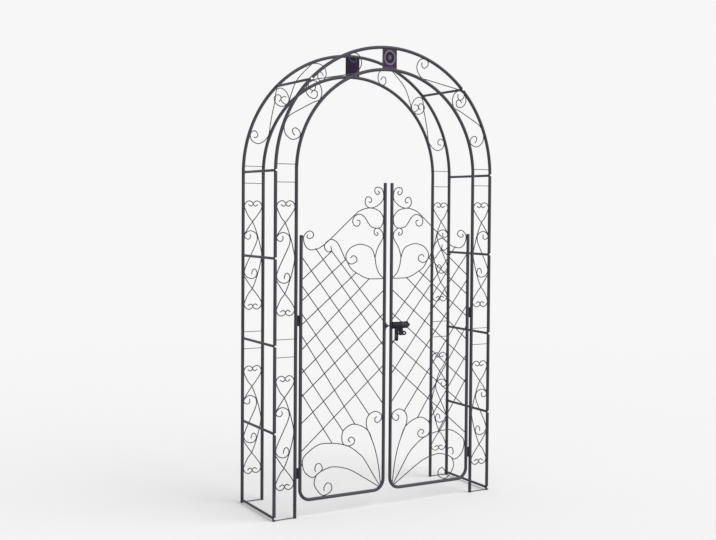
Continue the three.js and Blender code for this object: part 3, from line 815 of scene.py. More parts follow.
def side_panel(side, face, is_upper):
    first_bay = bays_a_panel if is_upper else 0
    joint = (first_bay + bays_a_panel) * bay
    level = (first_bay + bays_a_panel / 2) * bay
    bottom = first_bay * bay + socket_depth / 2 + fit_gap if is_upper else 0
    top = joint + socket_depth / 2
    tubes = []
    for x in (inner_x, outer_x):
        points = [Vector((side * x, face * face_y, height)) for height in (bottom, top)]
        plug = points[0] - Vector((0, 0, socket_depth - fit_gap)) if is_upper else None
        tubes.append(tube_path(points, plug))
    low = first_bay * bay + tie_above_joint if is_upper else ground_tie_height
    thick = tie_diameter if is_upper else ground_tie_diameter
    high = joint - tie_below_joint
    scrolls = [[panel_place(side, face, level, station) for station in path] for path in panel_scrolls]
    spots = panel_beads(side, face, level) + tie_beads(side, face, low) + tie_beads(side, face, high)
    return [
        bars(tubes, tube_diameter, tube_sides),
        wires(scrolls),
        tie(side, face, low, thick),
        tie(side, face, high, tie_diameter),
        weld_beads(spots),
    ]


for side_name, side in SIDES.items():
    for face_name, face in FACES.items():
        for level_name, is_upper in (("lower", False), ("upper", True)):
            node = f"{side_name}_{face_name}_{level_name}_panel"
            finished_piece(f"welded_{node}", side_panel(side, face, is_upper), "arch_frame", coat,
                           [node])

# %% [markdown]
# ## Arch quarters
# Four quarters make the two half rounds. A quarter is two tubes bent about the same centre,
# with a crown scroll and a flank scroll between them. A torus cut in four would give the
# tubes, but a path of stations also takes the plugs that they step down to at their ends. Its
# scrolls are given in degrees above the springing and in shares of the way from the inner
# tube to the outer one. In the back quarters the scrolls are turned over, so the flank scroll
# ends at the outer tube.

# %% Scrolls of the arch quarters
crown_scroll_shares = [
    (71.2, 0.74), (70.6, 0.58), (68.9, 0.55), (67.6, 0.76), (68.6, 0.94), (71.2, 0.93), (73.1, 0.75),
    (73.4, 0.45), (71.6, 0.22), (68.2, 0.07), (65.2, 0.12), (55.6, 0.4), (47.3, 0.8), (44.4, 0.95),
    (42.2, 0.9), (41.5, 0.7), (42.3, 0.55), (44, 0.57), (45.1, 0.67),
]
flank_scroll_shares = [
    (40.5, 0.56), (42.3, 0.55), (43.1, 0.4), (41.8, 0.27), (39.8, 0.28), (38.5, 0.5), (39, 0.75),
    (41, 0.91), (43.5, 0.93), (45.9, 0.82), (46.7, 0.5), (44.8, 0.2), (41.2, 0.07), (37.9, 0.22),
    (31.1, 0.54), (25.5, 0.87), (22.5, 0.94), (19.4, 0.92), (16.8, 0.77), (15.4, 0.46), (16.4, 0.22),
    (18.7, 0.09), (20.8, 0.18), (21.4, 0.4), (20.1, 0.51), (18.7, 0.46), (17.8, 0.34),
]
back_crown_scroll_shares = [(degrees, 1 - share) for degrees, share in crown_scroll_shares]
back_flank_scroll_shares = [
    (40.5, 0.44), (42.3, 0.45), (43.1, 0.6), (41.8, 0.73), (39.8, 0.72), (38.5, 0.5), (39, 0.25),
    (41, 0.1), (43.5, 0.07), (45.9, 0.18), (47, 0.5), (46.2, 0.78), (44, 0.89), (41.7, 0.77),
    (39.4, 0.618), (35.5, 0.457), (31.4, 0.319), (27.2, 0.196), (24.2, 0.11), (21.5, 0.07), (19.3, 0.11),
    (17.1, 0.21), (15, 0.44), (15.3, 0.73), (16.8, 0.89), (18.8, 0.93), (20.5, 0.79), (19.6, 0.59),
    (17.9, 0.595), (17.3, 0.719),
]
quarter_scrolls = {
    "front": [crown_scroll_shares, flank_scroll_shares],
    "back": [back_crown_scroll_shares, back_flank_scroll_shares],
}
near_arch_tube = 0.085
print("stations in a front quarter:", sum(len(path) for path in quarter_scrolls["front"]))

# %% Arch quarters
arch_steps = 60
arch_wire_bead = (4.4, 4.4, 4.4)


def arch_place(side, face, angle, radius):
    across, rise = radius * math.cos(angle), radius * math.sin(angle)
    return Vector((side * across, face * face_y, spring_height + rise))


def arch_scroll_place(side, face, station):
    degrees, share = station
    return arch_place(side, face, math.radians(degrees), inner_x + share * pair_pitch)


def arch_tube(side, face, radius):
    seam = socket_depth / 2 + fit_gap
    first = math.asin(seam / radius)
    last = math.pi / 2 - math.asin(fit_gap / 2 / radius)
    turns = [first + (last - first) * step / arch_steps for step in range(arch_steps + 1)]
    points = [arch_place(side, face, turn, radius) for turn in turns]
    foot = Vector((side * radius, face * face_y, spring_height + seam - socket_depth + fit_gap))
    path = tube_path(points, foot)
    if side < 0:
        crown_plug = socket_depth / 2 - fit_gap
        path += [(points[-1] + Vector((reach, 0, 0)), plug_share) for reach in (plug_step, crown_plug)]
    return path


def quarter_beads(side, face, scrolls):
    spots = []
    for scroll in scrolls:
        for degrees, share in scroll:
            if near_arch_tube <= share <= 1 - near_arch_tube:
                continue
            edge = tube_radius / pair_pitch if share < near_arch_tube else 1 - tube_radius / pair_pitch
            place = arch_scroll_place(side, face, (degrees, edge))
            spots.append((place, tube_bead, -side * math.radians(degrees)))
    for station in shared_stations(scrolls):
        spots.append((arch_scroll_place(side, face, station), arch_wire_bead, 0))
    return spots


def arch_quarter(side, face, scrolls):
    paths = [[arch_scroll_place(side, face, station) for station in path] for path in scrolls]
    height = spring_height + tie_above_joint
    return [
        bars([arch_tube(side, face, radius) for radius in (inner_x, outer_x)], tube_diameter, tube_sides),
        wires(paths),
        tie(side, face, height, tie_diameter),
        weld_beads(quarter_beads(side, face, scrolls) + tie_beads(side, face, height)),
    ]


for side_name, side in SIDES.items():
    for face_name, face in FACES.items():
        node = f"{side_name}_{face_name}_arch_quarter"
        finished_piece(f"welded_{node}", arch_quarter(side, face, quarter_scrolls[face_name]),
                       "arch_frame", coat, [node])

# %% [markdown]
# ## Rungs and bolts
# Six rungs on each side tie the two faces: one near the ground, one at each bay, and one at
# 45 degrees over the arch. A bolt through each post screws into the rung's end, front and back.
# Rungs and bolts repeat exactly, so each kind is one shape built inside a tree and put on its
# points by Instance on Points. The bolt's washer, hexagon and shank are cylinders whose sizes
# are the tree's inputs, and a turn stored on each point faces it to the front or to the back.

# %% Places of the rungs
rung_heights = [ground_rung_height] + [index * bay for index in range(1, bays_up + 1)]
rungs_a_side = len(rung_heights) + 1
rung_places = []
for side in SIDES.values():
    rung_places += [(side * outer_x, height) for height in rung_heights]
    crown = arch_place(side, 1, arch_rung_angle, outer_x)
    rung_places.append((crown.x, crown.z))
rung_names = [f"{side_name}_rung_{index + 1}" for side_name in SIDES for index in range(rungs_a_side)]
bolt_names = [name.replace("rung", "rung_bolt") for name in rung_names]
print("rungs:", len(rung_places))

# %% Rungs
rung_sides = 20
rung_rounding = 0.6


def rung_tree():
    graph, ports = geometry_graph("rungs", {
        "Diameter": "Float", "Length": "Float", "Sides": "Int", "Finish": "Material",
    })
    bar = graph.node("GeometryNodeMeshCylinder", {}, {
        "Vertices": ports["Sides"], "Radius": ports["Diameter"] * 0.5, "Depth": ports["Length"],
    })
    lying = graph.node("GeometryNodeTransform", {}, {"Geometry": bar, "Rotation": (math.pi / 2, 0, 0)})
    rungs = graph.node("GeometryNodeInstanceOnPoints", {}, {
        "Points": ports["Stations"], "Instance": lying,
    })
    end_tree(graph, rungs, ports["Finish"])
    return graph


def point_cloud(places):
    mesh = bpy.data.meshes.new("points")
    mesh.from_pydata([place * MM for place in places], [], [])
    return mesh


rung_reach = face_y - tube_radius - fit_gap
rung_bars = run_tree(rung_tree(), point_cloud([Vector((x, 0, z)) for x, z in rung_places]), {
    "Diameter": rung_diameter * MM, "Length": 2 * rung_reach * MM, "Sides": rung_sides, "Finish": coat,
}, rung_rounding)
finished_piece("rungs", [rung_bars], "arch_frame", coat, rung_names)

# %% Bolts of the rungs
bolt_diameter = 5
bolt_head_diameter = 9.5
bolt_head_height = 3.5
washer_height = 0.9
hexagon_share = 0.92
bolt_reach = 14
bolt_rounding = 0.35
washer_sides = 24
hexagon_sides = 6
shank_sides = 12


def bolt_tree():
    graph, ports = geometry_graph("hexagon_bolts", {
        "Washer Width": "Float", "Washer Height": "Float", "Head Width": "Float",
        "Head Height": "Float", "Shank Width": "Float", "Shank Length": "Float", "Finish": "Material",
    })

    def disc(corners, width, height, middle):
        shape = graph.node("GeometryNodeMeshCylinder", {}, {
            "Vertices": corners, "Radius": width * 0.5, "Depth": height,
        })
        lift = graph.node("ShaderNodeCombineXYZ", {}, {"Z": middle})
        return graph.node("GeometryNodeTransform", {}, {"Geometry": shape, "Translation": lift})

    thickness, height, length = ports["Washer Height"], ports["Head Height"], ports["Shank Length"]
    washer = disc(washer_sides, ports["Washer Width"], thickness, thickness * 0.5)
    head = disc(hexagon_sides, ports["Head Width"], height, thickness + height * 0.5)
    shank = disc(shank_sides, ports["Shank Width"], length, length * -0.5)
    bolt = graph.node("GeometryNodeJoinGeometry", {}, {"Geometry": [washer, head, shank]})
    bolts = graph.node("GeometryNodeInstanceOnPoints", {}, {
        "Points": ports["Stations"], "Instance": bolt, "Rotation": stored(graph, "turn", "FLOAT_VECTOR"),
    })
    end_tree(graph, bolts, ports["Finish"])
    return graph


def rung_bolts(face):
    seat = face * (face_y + tube_radius + fit_gap)
    points = point_cloud([Vector((x, seat, z)) for x, z in rung_places])
    add_attribute(points, "turn", "FLOAT_VECTOR", [(-face * math.pi / 2, 0, 0)] * len(rung_places))
    return run_tree(hexagon_bolts, points, {
        "Washer Width": bolt_head_diameter * MM,
        "Washer Height": washer_height * MM,
        "Head Width": hexagon_share * bolt_head_diameter * MM,
        "Head Height": (bolt_head_height - washer_height) * MM,
        "Shank Width": bolt_diameter * MM,
        "Shank Length": (tube_diameter + bolt_reach) * MM,
        "Finish": zinc,
    }, bolt_rounding)


hexagon_bolts = bolt_tree()
finished_piece("front_rung_bolts", [rung_bolts(-1)], "arch_frame", zinc, bolt_names)
finished_piece("back_rung_bolts", [rung_bolts(1)], "arch_frame", zinc)

# %% [markdown]
# ## Leaf frames
# Each leaf's frame is one tube, bent twice: down the tall lock stile in the middle of the
# opening, along the bottom rail and up the shorter hinge stile. Three straight tubes and two
# elbows would show seams that the real one hasn't, so it is one path of stations, with its
# bends as quarter circles, through the same round bar tree as the posts.

# %% Sizes of the leaves
hinge_spacing = 24.4
lock_stile_gap = 36
lock_stile_height = 1475
hinge_stile_share = 0.841
bottom_rail_share = 0.05
corner_radius = 50
corner_steps = 12

lock_x = lock_stile_gap / 2
hinge_stile_x = inner_x - hinge_spacing
hinge_axis_x = inner_x - hinge_spacing / 2
leaf_width = hinge_stile_x - lock_x
hinge_stile_height = lock_stile_height * hinge_stile_share
bottom_rail_height = lock_stile_height * bottom_rail_share
print("a leaf is", leaf_width, "mm between the middles of its stiles")

# %% Leaf frames
def leaf_frame(side):
    lock, hinge = side * lock_x, side * hinge_stile_x
    points = [Vector((lock, -face_y, lock_stile_height))]
    corners = [(lock + side * corner_radius, math.pi), (hinge - side * corner_radius, 1.5 * math.pi)]
    for middle, start in corners:
        for step in range(corner_steps + 1):
            turn = start + step / corner_steps * math.pi / 2
            points.append(Vector((
                middle + side * corner_radius * math.cos(turn),
                -face_y,
                bottom_rail_height + corner_radius * (1 + math.sin(turn)),
            )))
    points.append(Vector((hinge, -face_y, hinge_stile_height)))
    return [bars([tube_path(points)], tube_diameter, tube_sides)]


for side_name, side in SIDES.items():
    node = f"{side_name}_leaf_frame"
    finished_piece(f"bent_{node}", leaf_frame(side), f"{side_name}_leaf", coat, [node])

# %% [markdown]
# ## Scrolls and lattice of the leaves
# Nine scrolls run along the top and the bottom of each leaf, and straight wires cross between
# them as a lattice. An even grid cut off at the scrolls would be quicker to draw, but a real
# wire ends on a stile or on a scroll, so each is a line between two such places. All of them
# are in shares of the leaf's width from the lock stile and of the lock stile's height above
# the ground. The wires of the two directions lie one behind the other and are spot welded
# where they cross, so a bead is put at each crossing of two wires.

# %% Scrolls of the leaves
leaf_scrolls = [
    [
        (0.088, 0.9745), (0.071, 0.9695), (0.096, 0.9635), (0.128, 0.972), (0.12, 0.984),
        (0.078, 0.986), (0.038, 0.98), (0.022, 0.968), (0.022, 0.952), (0.049, 0.94), (0.108, 0.9275),
        (0.186, 0.9225), (0.236, 0.931), (0.246, 0.943), (0.232, 0.954), (0.195, 0.956), (0.168, 0.9485),
        (0.178, 0.9395), (0.203, 0.941),
    ],
    [
        (0.925, 0.8405), (0.934, 0.8345), (0.905, 0.8305), (0.87, 0.834), (0.857, 0.8415),
        (0.873, 0.85), (0.905, 0.853), (0.945, 0.847), (0.972, 0.835), (0.966, 0.818), (0.93, 0.802),
        (0.86, 0.797), (0.722, 0.814), (0.388, 0.897), (0.3, 0.915), (0.186, 0.9225), (0.08, 0.9145),
        (0.028, 0.898), (0.021, 0.885), (0.037, 0.869), (0.085, 0.8605), (0.165, 0.8645),
        (0.208, 0.877), (0.25, 0.894), (0.306, 0.903), (0.366, 0.898), (0.397, 0.884), (0.38, 0.87),
        (0.342, 0.8665), (0.311, 0.873), (0.312, 0.883), (0.34, 0.885),
    ],
    [
        (0.1, 0.8475), (0.085, 0.843), (0.1, 0.838), (0.132, 0.844), (0.127, 0.8565), (0.085, 0.8605),
        (0.035, 0.85), (0.022, 0.836), (0.035, 0.824), (0.085, 0.802), (0.112, 0.78), (0.12, 0.768),
    ],
    [
        (0.012, 0.706), (0.071, 0.722), (0.105, 0.745), (0.12, 0.768), (0.158, 0.796), (0.243, 0.809),
        (0.33, 0.811), (0.42, 0.801), (0.472, 0.781), (0.464, 0.762), (0.41, 0.752), (0.346, 0.76),
        (0.352, 0.773), (0.39, 0.777), (0.415, 0.771),
    ],
    [
        (0.655, 0.806), (0.648, 0.794), (0.688, 0.79), (0.728, 0.801), (0.722, 0.814), (0.66, 0.827),
        (0.588, 0.82), (0.535, 0.797), (0.485, 0.768), (0.464, 0.762), (0.412, 0.738), (0.33, 0.722),
        (0.215, 0.707), (0.1, 0.705), (0.012, 0.705),
    ],
    [
        (0.086, 0.278), (0.108, 0.273), (0.1, 0.263), (0.068, 0.2605), (0.028, 0.27), (0.032, 0.285),
        (0.105, 0.2955), (0.178, 0.287), (0.212, 0.27), (0.207, 0.249), (0.166, 0.2235), (0.107, 0.182),
        (0.063, 0.132), (0.04, 0.086), (0.03, 0.062),
    ],
    [
        (0.412, 0.209), (0.433, 0.217), (0.395, 0.224), (0.355, 0.214), (0.375, 0.201), (0.44, 0.198),
        (0.492, 0.206), (0.51, 0.222), (0.495, 0.245), (0.422, 0.26), (0.35, 0.262), (0.25, 0.251),
        (0.178, 0.2327), (0.14, 0.207),
    ],
    [
        (0.045, 0.0635), (0.093, 0.0857), (0.237, 0.1512), (0.31, 0.1725), (0.38, 0.188), (0.44, 0.198),
        (0.53, 0.2065), (0.624, 0.2113), (0.739, 0.2134), (0.81, 0.209), (0.89, 0.196), (0.96, 0.178),
        (0.971, 0.157), (0.94, 0.132), (0.856, 0.115), (0.795, 0.1235), (0.741, 0.136), (0.763, 0.153),
        (0.81, 0.153), (0.827, 0.14), (0.819, 0.132),
    ],
    [
        (0.055, 0.0605), (0.237, 0.0942), (0.422, 0.1256), (0.595, 0.139), (0.695, 0.136),
        (0.795, 0.1235), (0.832, 0.104), (0.824, 0.0857), (0.754, 0.0605), (0.695, 0.0575),
        (0.632, 0.0685), (0.632, 0.0857), (0.68, 0.0928), (0.717, 0.0814), (0.717, 0.0707),
    ],
]
print("scroll stations in a leaf:", sum(len(path) for path in leaf_scrolls))

# %% Lattice wires of the leaves
shallow_wires = [
    [(0.649, 0.791), (1, 0.706)], [(0.48, 0.766), (1, 0.644)], [(0.35, 0.7255), (1, 0.573)],
    [(0.19, 0.7062), (1, 0.498)], [(0, 0.672), (1, 0.428)], [(0, 0.6), (1, 0.358)],
    [(0, 0.515), (1, 0.278)], [(0, 0.439), (1, 0.194)],
]
steep_wires = [
    [(0, 0.571), (0.648, 0.794)], [(0, 0.495), (0.83, 0.8)], [(0, 0.403), (1, 0.78)],
    [(0, 0.314), (1, 0.696)], [(0.178, 0.287), (1, 0.613)], [(0.35, 0.262), (1, 0.548)],
    [(0.495, 0.245), (1, 0.453)], [(0.624, 0.2113), (1, 0.377)],
]
print("wires in a leaf:", len(shallow_wires + steep_wires))

# %% Places in a leaf
lattice_offset = scroll_diameter / 3
stile_edge = tube_radius / leaf_width
wire_reach = 0.8 * stile_edge
near_stile = 0.03


def leaf_place(side, station, depth=0):
    across, rise = station
    return Vector((side * (lock_x + across * leaf_width), -face_y + depth, rise * lock_stile_height))


def along(wire, across):
    """The station of a straight wire at a share across the leaf."""
    (left, low), (right, high) = wire
    return across, low + (high - low) * (across - left) / (right - left)


def trimmed(wire):
    """A wire cut back to the faces of the stiles, a little way into their tubes."""
    first = max(wire[0][0], wire_reach)
    last = min(wire[1][0], 1 - wire_reach)
    return [along(wire, first), along(wire, last)]


def crossing(shallow, steep):
    """The station where two wires cross, or None."""
    slopes = [(wire[1][1] - wire[0][1]) / (wire[1][0] - wire[0][0]) for wire in (shallow, steep)]
    across = (along(steep, 0)[1] - along(shallow, 0)[1]) / (slopes[0] - slopes[1])
    ends = [wire[index][0] for wire in (shallow, steep) for index in (0, 1)]
    is_on_both = max(ends[0], ends[2]) < across < min(ends[1], ends[3])
    return along(shallow, across) if is_on_both else None


crossings = [crossing(a, b) for a in shallow_wires for b in steep_wires]
crossings = [station for station in crossings if station]
print("lattice crossings:", len(crossings))

# %% Beads of the leaves
crossing_bead = (5.4, 4.8, 5.4)
leaf_scroll_bead = (5.2, 5.2, 5.2)
stile_bead = (3.0, 4.2, 8.0)
stile_bead_growth = 1.2
wire_stile_bead = (3.4, 4.8, 6.0)
wire_end_bead = (5.2, 4.8, 5.2)


def stile_beads(side):
    """Beads where a scroll lies near a stile, each wide enough to reach it."""
    spots = []
    for path in leaf_scrolls:
        for across, rise in path:
            away = min(across, 1 - across)
            if away < near_stile:
                gap = max(away - stile_edge, 0) * leaf_width
                edge = stile_edge if across < 0.5 else 1 - stile_edge
                width, depth, height = stile_bead
                spread = (width + stile_bead_growth * gap, depth, height)
                spots.append((leaf_place(side, ((edge + across) / 2, rise)), spread, 0))
    return spots


def leaf_beads(side):
    spots = [(leaf_place(side, station), crossing_bead, 0) for station in crossings]
    spots += [(leaf_place(side, station), leaf_scroll_bead, 0) for station in shared_stations(leaf_scrolls)]
    spots += stile_beads(side)
    for wire in shallow_wires + steep_wires:
        for across, _ in wire:
            is_at_stile = across in (0, 1)
            edge = abs(across - stile_edge) if is_at_stile else across
            bead = wire_stile_bead if is_at_stile else wire_end_bead
            spots.append((leaf_place(side, along(wire, edge)), bead, 0))
    return spots


print("beads in a leaf:", len(leaf_beads(1)))

# %% Scrolls and lattice of the leaves
def leaf_infill(side):
    scrolls = [[leaf_place(side, station) for station in path] for path in leaf_scrolls]
    lattice = [
        [leaf_place(side, station, depth) for station in trimmed(wire)]
        for layer, depth in ((shallow_wires, -lattice_offset), (steep_wires, lattice_offset))
        for wire in layer
    ]
    return [wires(scrolls), wires(lattice, steps=1), weld_beads(leaf_beads(side))]


for side_name, side in SIDES.items():
    node = f"{side_name}_leaf_scrollwork"
    finished_piece(f"welded_{node}", leaf_infill(side), f"{side_name}_leaf", coat, [node])

# %% [markdown]
# ## Hinges
# A leaf hangs on two lift-off hinges. The post carries a knuckle with a pin standing up from
# it, and the leaf carries a bored knuckle that drops over the pin. Stacked cylinders would
# give the form without its eased edges. Both are turned parts, so outlines of radii and
# heights are spun about the upright hinge axis in bmesh, chamfers and bore included. A run of
# small weld beads up each side of a knuckle fixes it to its tube.

# %% Turned parts
def turned(outline, sides, is_ring, place, turn=Matrix.Identity(3)):
    """Spins an outline of radii and heights about an axis, as on a lathe. A ring has a bore."""
    shape = bmesh.new()
    rings = []
    for radius, height in outline:
        ring = []
        for index in range(sides):
            angle = index / sides * 2 * math.pi
            local = Vector((radius * math.cos(angle), radius * math.sin(angle), height))
            ring.append(shape.verts.new((place + turn @ local) * MM))
        rings.append(ring)
    following = rings[1:] + rings[:1] if is_ring else rings[1:]
    for lower, upper in zip(rings, following):
        for index in range(sides):
            after = (index + 1) % sides
            shape.faces.new((lower[index], lower[after], upper[after], upper[index]))
    if not is_ring:
        shape.faces.new(rings[0][::-1])
        shape.faces.new(rings[-1])
    bmesh.ops.recalc_face_normals(shape, faces=shape.faces)
    return mesh_of(shape, "turned")


print("lathe ready")

# %% Knuckles of the hinges
lower_hinge_height = 173
upper_hinge_height = 843
knuckle_length = 23
knuckle_diameter = 8.4
hinge_pin_diameter = 4.4
hinge_pin_show = 2
knuckle_chamfer = 0.5
pin_taper = 3 * knuckle_chamfer
knuckle_sides = 28
weld_spacing = 2.6
weld_depth = 1.9
weld_sink = 0.4
knuckle_bead = (3.4, 3.6, 4.2)


def bored_knuckle(x, bottom):
    outer, bore, edge = knuckle_diameter / 2, hinge_pin_diameter / 2 + fit_gap, knuckle_chamfer
    outline = [
        (bore, edge), (bore + edge, 0), (outer - edge, 0), (outer, edge),
        (outer, knuckle_length - edge), (outer - edge, knuckle_length),
        (bore + edge, knuckle_length), (bore, knuckle_length - edge),
    ]
    return turned(outline, knuckle_sides, True, Vector((x, -face_y, bottom)))


def pinned_knuckle(x, bottom):
    outer, pin, edge = knuckle_diameter / 2, hinge_pin_diameter / 2, knuckle_chamfer
    tip = 2 * knuckle_length + fit_gap + hinge_pin_show
    outline = [
        (outer - edge, 0), (outer, edge), (outer, knuckle_length - edge), (outer - edge, knuckle_length),
        (pin, knuckle_length), (pin, tip - pin_taper), (pin - edge, tip - edge), (pin - pin_taper, tip),
    ]
    return turned(outline, knuckle_sides, False, Vector((x, -face_y, bottom)))


def weld_run(x, bottom):
    """Two runs of beads, front and back, in the valley between a knuckle and a tube."""
    count = int(knuckle_length // weld_spacing)
    start = bottom + (knuckle_length - (count - 1) * weld_spacing) / 2
    return [
        (Vector((x, -face_y + depth, start + index * weld_spacing)), knuckle_bead, 0)
        for depth in (-weld_depth, weld_depth) for index in range(count)
    ]


print("knuckle outline:", knuckle_length, "mm long,", knuckle_diameter, "mm wide")

# %% Hinges
# Knuckles and pins take the darker coat of painted shade.
for side_name, side in SIDES.items():
    x = side * hinge_axis_x
    knuckles = []
    for level_name, height in (("lower", lower_hinge_height), ("upper", upper_hinge_height)):
        post_run = weld_run(side * (inner_x - tube_radius + weld_sink), height)
        on_post = [pinned_knuckle(x, height), weld_beads(post_run)]
        finished_piece(f"turned_{side_name}_{level_name}_pin", on_post, "arch_frame", painted_shade_knuckle_coat,
                       [f"{side_name}_{level_name}_hinge_pin"])
        above = height + knuckle_length + fit_gap
        stile_run = weld_run(side * (hinge_stile_x + tube_radius - weld_sink), above)
        knuckles += [bored_knuckle(x, above), weld_beads(stile_run)]
    finished_piece(f"turned_{side_name}_knuckles", knuckles, f"{side_name}_leaf", painted_shade_knuckle_coat,
                   [f"{side_name}_{level_name}_hinge_knuckle" for level_name in ("lower", "upper")])

# %% [markdown]
# ## Crown plaques
# A small pressed plaque fills the gap between the two tubes at the crown of each face: a raised
# border, an oval rim and a flower boss in its middle. It could be sculpted, but its shape
# follows a rule, a height for every place on it, so it is a fine grid of points lifted by that
# height and closed behind. A change to the rule then redraws it. Its upper and lower edges
# follow the tubes, and its raised parts carry an attribute that lightens them: a painted
# highlight, together with rubbed wear.

# %% Sizes of a plaque
plaque_width = 75
plaque_thickness = 3
plaque_border = 4
plaque_relief = 1.5
border_slope = 0.9
border_fall = 1.2
medallion_width = 60
medallion_height = 66
medallion_rim = 5
medallion_rise = 5
rim_slope = 1.2
rim_fall = 2.5
petal_count = 8
petal_notch = 0.12
petal_ripple = 0.2
petal_height = 0.8
button_share = 0.3
pearl_count = 32
pearl_height = 0.3
pearl_gap = 0.2
pearl_ring = (0.6, 0.66)
# How the painted highlight with rubbed wear reaches round the oval rim, and how much of it the field and the
# border get.
highlit_worn_reach = 1.5
highlit_worn_inset = 0.5
highlit_worn_fall = 4
field_highlit_worn = 0.1
border_highlit_worn = 0.5
arch_facets = 48
grid_step = 0.75

plaque_bottom = spring_height + inner_x + tube_radius + fit_gap
plaque_drop = plaque_width / 2 * math.tan(math.pi / arch_facets)
plaque_top = spring_height + outer_x - tube_radius - fit_gap - plaque_drop
plaque_height = plaque_top - plaque_bottom
print("plaque:", plaque_width, "by", round(plaque_height, 1), "mm")

# %% Relief of a plaque
def ease(low, high, value):
    """Nought below low, one above high, and a soft slope between."""
    share = min(max((value - low) / (high - low), 0), 1)
    return share * share * (3 - 2 * share)


def dome(away):
    """The height of a half ball one high, at a share of its radius from its middle."""
    return math.sqrt(max(0, 1 - away ** 2))


def relief(across, up):
    """How far the plaque's front stands over its field, and how much painted highlight and rubbed wear
    lighten it, both up to one.
    """
    edge = min(plaque_width / 2 - abs(across), plaque_height / 2 - abs(up))
    border = ease(0, border_slope, edge) * (1 - ease(plaque_border - border_fall, plaque_border, edge))
    up = up - medallion_rise
    oval = math.hypot(across / (medallion_width / 2), up / (medallion_height / 2))
    inside = (1 - oval) * (medallion_width + medallion_height) / 4
    rim = ease(0, rim_slope, inside) * (1 - ease(medallion_rim, medallion_rim + rim_fall, inside))
    reach_x = (medallion_width / 2 - medallion_rim) / 2
    reach_z = (medallion_height / 2 - medallion_rim) / 2
    turn = math.atan2(up / reach_z, across / reach_x)
    away = math.hypot(across / reach_x, up / reach_z)
    wave = math.cos(petal_count * turn)
    petals = petal_height * dome(away / (1 - petal_notch + petal_notch * wave))
    petals *= 1 - petal_ripple + petal_ripple * wave
    button = dome(away / button_share)
    pearl = 0
    if pearl_ring[0] < oval < pearl_ring[1]:
        pearl = pearl_height * ease(-pearl_gap, 1, math.cos(pearl_count * turn))
    # The rim, border, petals and boss are lightened: a painted highlight, with rubbed wear.
    on_oval = ease(-highlit_worn_reach, highlit_worn_inset, inside)
    around = on_oval * (1 - ease(medallion_rim + highlit_worn_inset, medallion_rim + highlit_worn_fall, inside))
    lightening = max(border_highlit_worn * border, field_highlit_worn * (1 - on_oval), around, petals, button)
    return max(border, rim, petals, button, pearl), lightening


print("the boss stands", plaque_relief * relief(0, medallion_rise)[0], "mm over the field")

# %% Crown plaques
plaque_weld_inset = 8
plaque_bead = (9, 4.6, 3.2)


def plaque_edges(across):
    """The lower and the upper edge, each cut to the curve of the tube beside it."""
    low = math.sqrt((inner_x + tube_radius) ** 2 - across ** 2) + fit_gap
    high = math.sqrt((outer_x - tube_radius) ** 2 - across ** 2) - fit_gap
    return spring_height + low, spring_height + high


def plaque(face):
    columns = round(plaque_width / grid_step)
    rows = round(plaque_height / grid_step)
    shape = bmesh.new()
    rubbed = shape.verts.layers.float.new("rubbed")

    def vertex(column, row, is_front):
        across = (column / columns - 0.5) * plaque_width
        height, lightening = relief(across, (row / rows - 0.5) * plaque_height) if is_front else (0, 0)
        depth = plaque_thickness / 2 + plaque_relief * height if is_front else -plaque_thickness / 2
        low, high = plaque_edges(across)
        place = Vector((across, face * (face_y + depth), low + (high - low) * row / rows))
        made = shape.verts.new(place * MM)
        made[rubbed] = lightening
        return made

    front = [[vertex(column, row, True) for row in range(rows + 1)] for column in range(columns + 1)]
    for column in range(columns):
        for row in range(rows):
            shape.faces.new((front[column][row], front[column + 1][row], front[column + 1][row + 1],
                             front[column][row + 1]))
    ring = [(column, 0) for column in range(columns)] + [(columns, row) for row in range(rows)]
    ring += [(columns - column, rows) for column in range(columns)]
    ring += [(0, rows - row) for row in range(rows)]
    behind = [vertex(column, row, False) for column, row in ring]
    for index, (column, row) in enumerate(ring):
        after = (index + 1) % len(ring)
        next_column, next_row = ring[after]
        shape.faces.new((front[column][row], front[next_column][next_row], behind[after], behind[index]))
    shape.faces.new(behind)
    bmesh.ops.recalc_face_normals(shape, faces=shape.faces)
    return mesh_of(shape, "plaque")


def plaque_welds(face):
    reach = plaque_width / 2 - plaque_weld_inset
    return weld_beads([
        (Vector((x, face * face_y, z)), plaque_bead, 0) for x in (-reach, reach) for z in plaque_edges(x)
    ])


for face_name, face in FACES.items():
    finished_piece(f"pressed_{face_name}_plaque", [plaque(face), plaque_welds(face)], "arch_frame",
                   plaque_coat, [f"{face_name}_plaque"])

# %% [markdown]
# ## Plates for the latch
# The latch is made of flat plates. Boxes cut by booleans could give them, but an outline is
# how such a plate is really drawn and punched. So a helper draws closed outlines as a filled
# flat curve, holes included, and extrudes it. The result is made a mesh, its doubled points
# are merged and its sharp edges are rounded over in bmesh. The corners of an outline are
# rounded before that.

# %% Outlines of plates
circle_sides = 32
rounded_steps = 5
rounded_limit = 0.45


def arc(x, z, radius, first, last, steps):
    """Points along an arc, from one angle to another."""
    turns = [first + step / steps * (last - first) for step in range(steps + 1)]
    return [(x + radius * math.cos(turn), z + radius * math.sin(turn)) for turn in turns]


def circle(x, z, diameter, sides=circle_sides):
    """A closed round outline, for a hole."""
    return arc(x, z, diameter / 2, 0, 2 * math.pi, sides)[:-1]


def rounded(corners, radius):
    """An outline whose corners are eased by short curves of about this radius."""
    outline = []
    for index, corner in enumerate(corners):
        here = Vector(corner)
        before = Vector(corners[index - 1]) - here
        after = Vector(corners[(index + 1) % len(corners)]) - here
        cut = min(radius, rounded_limit * before.length, rounded_limit * after.length)
        first, last = here + before.normalized() * cut, here + after.normalized() * cut
        for step in range(rounded_steps + 1):
            share = step / rounded_steps
            outline.append(tuple(
                first * (1 - share) ** 2 + here * 2 * share * (1 - share) + last * share ** 2
            ))
    return outline


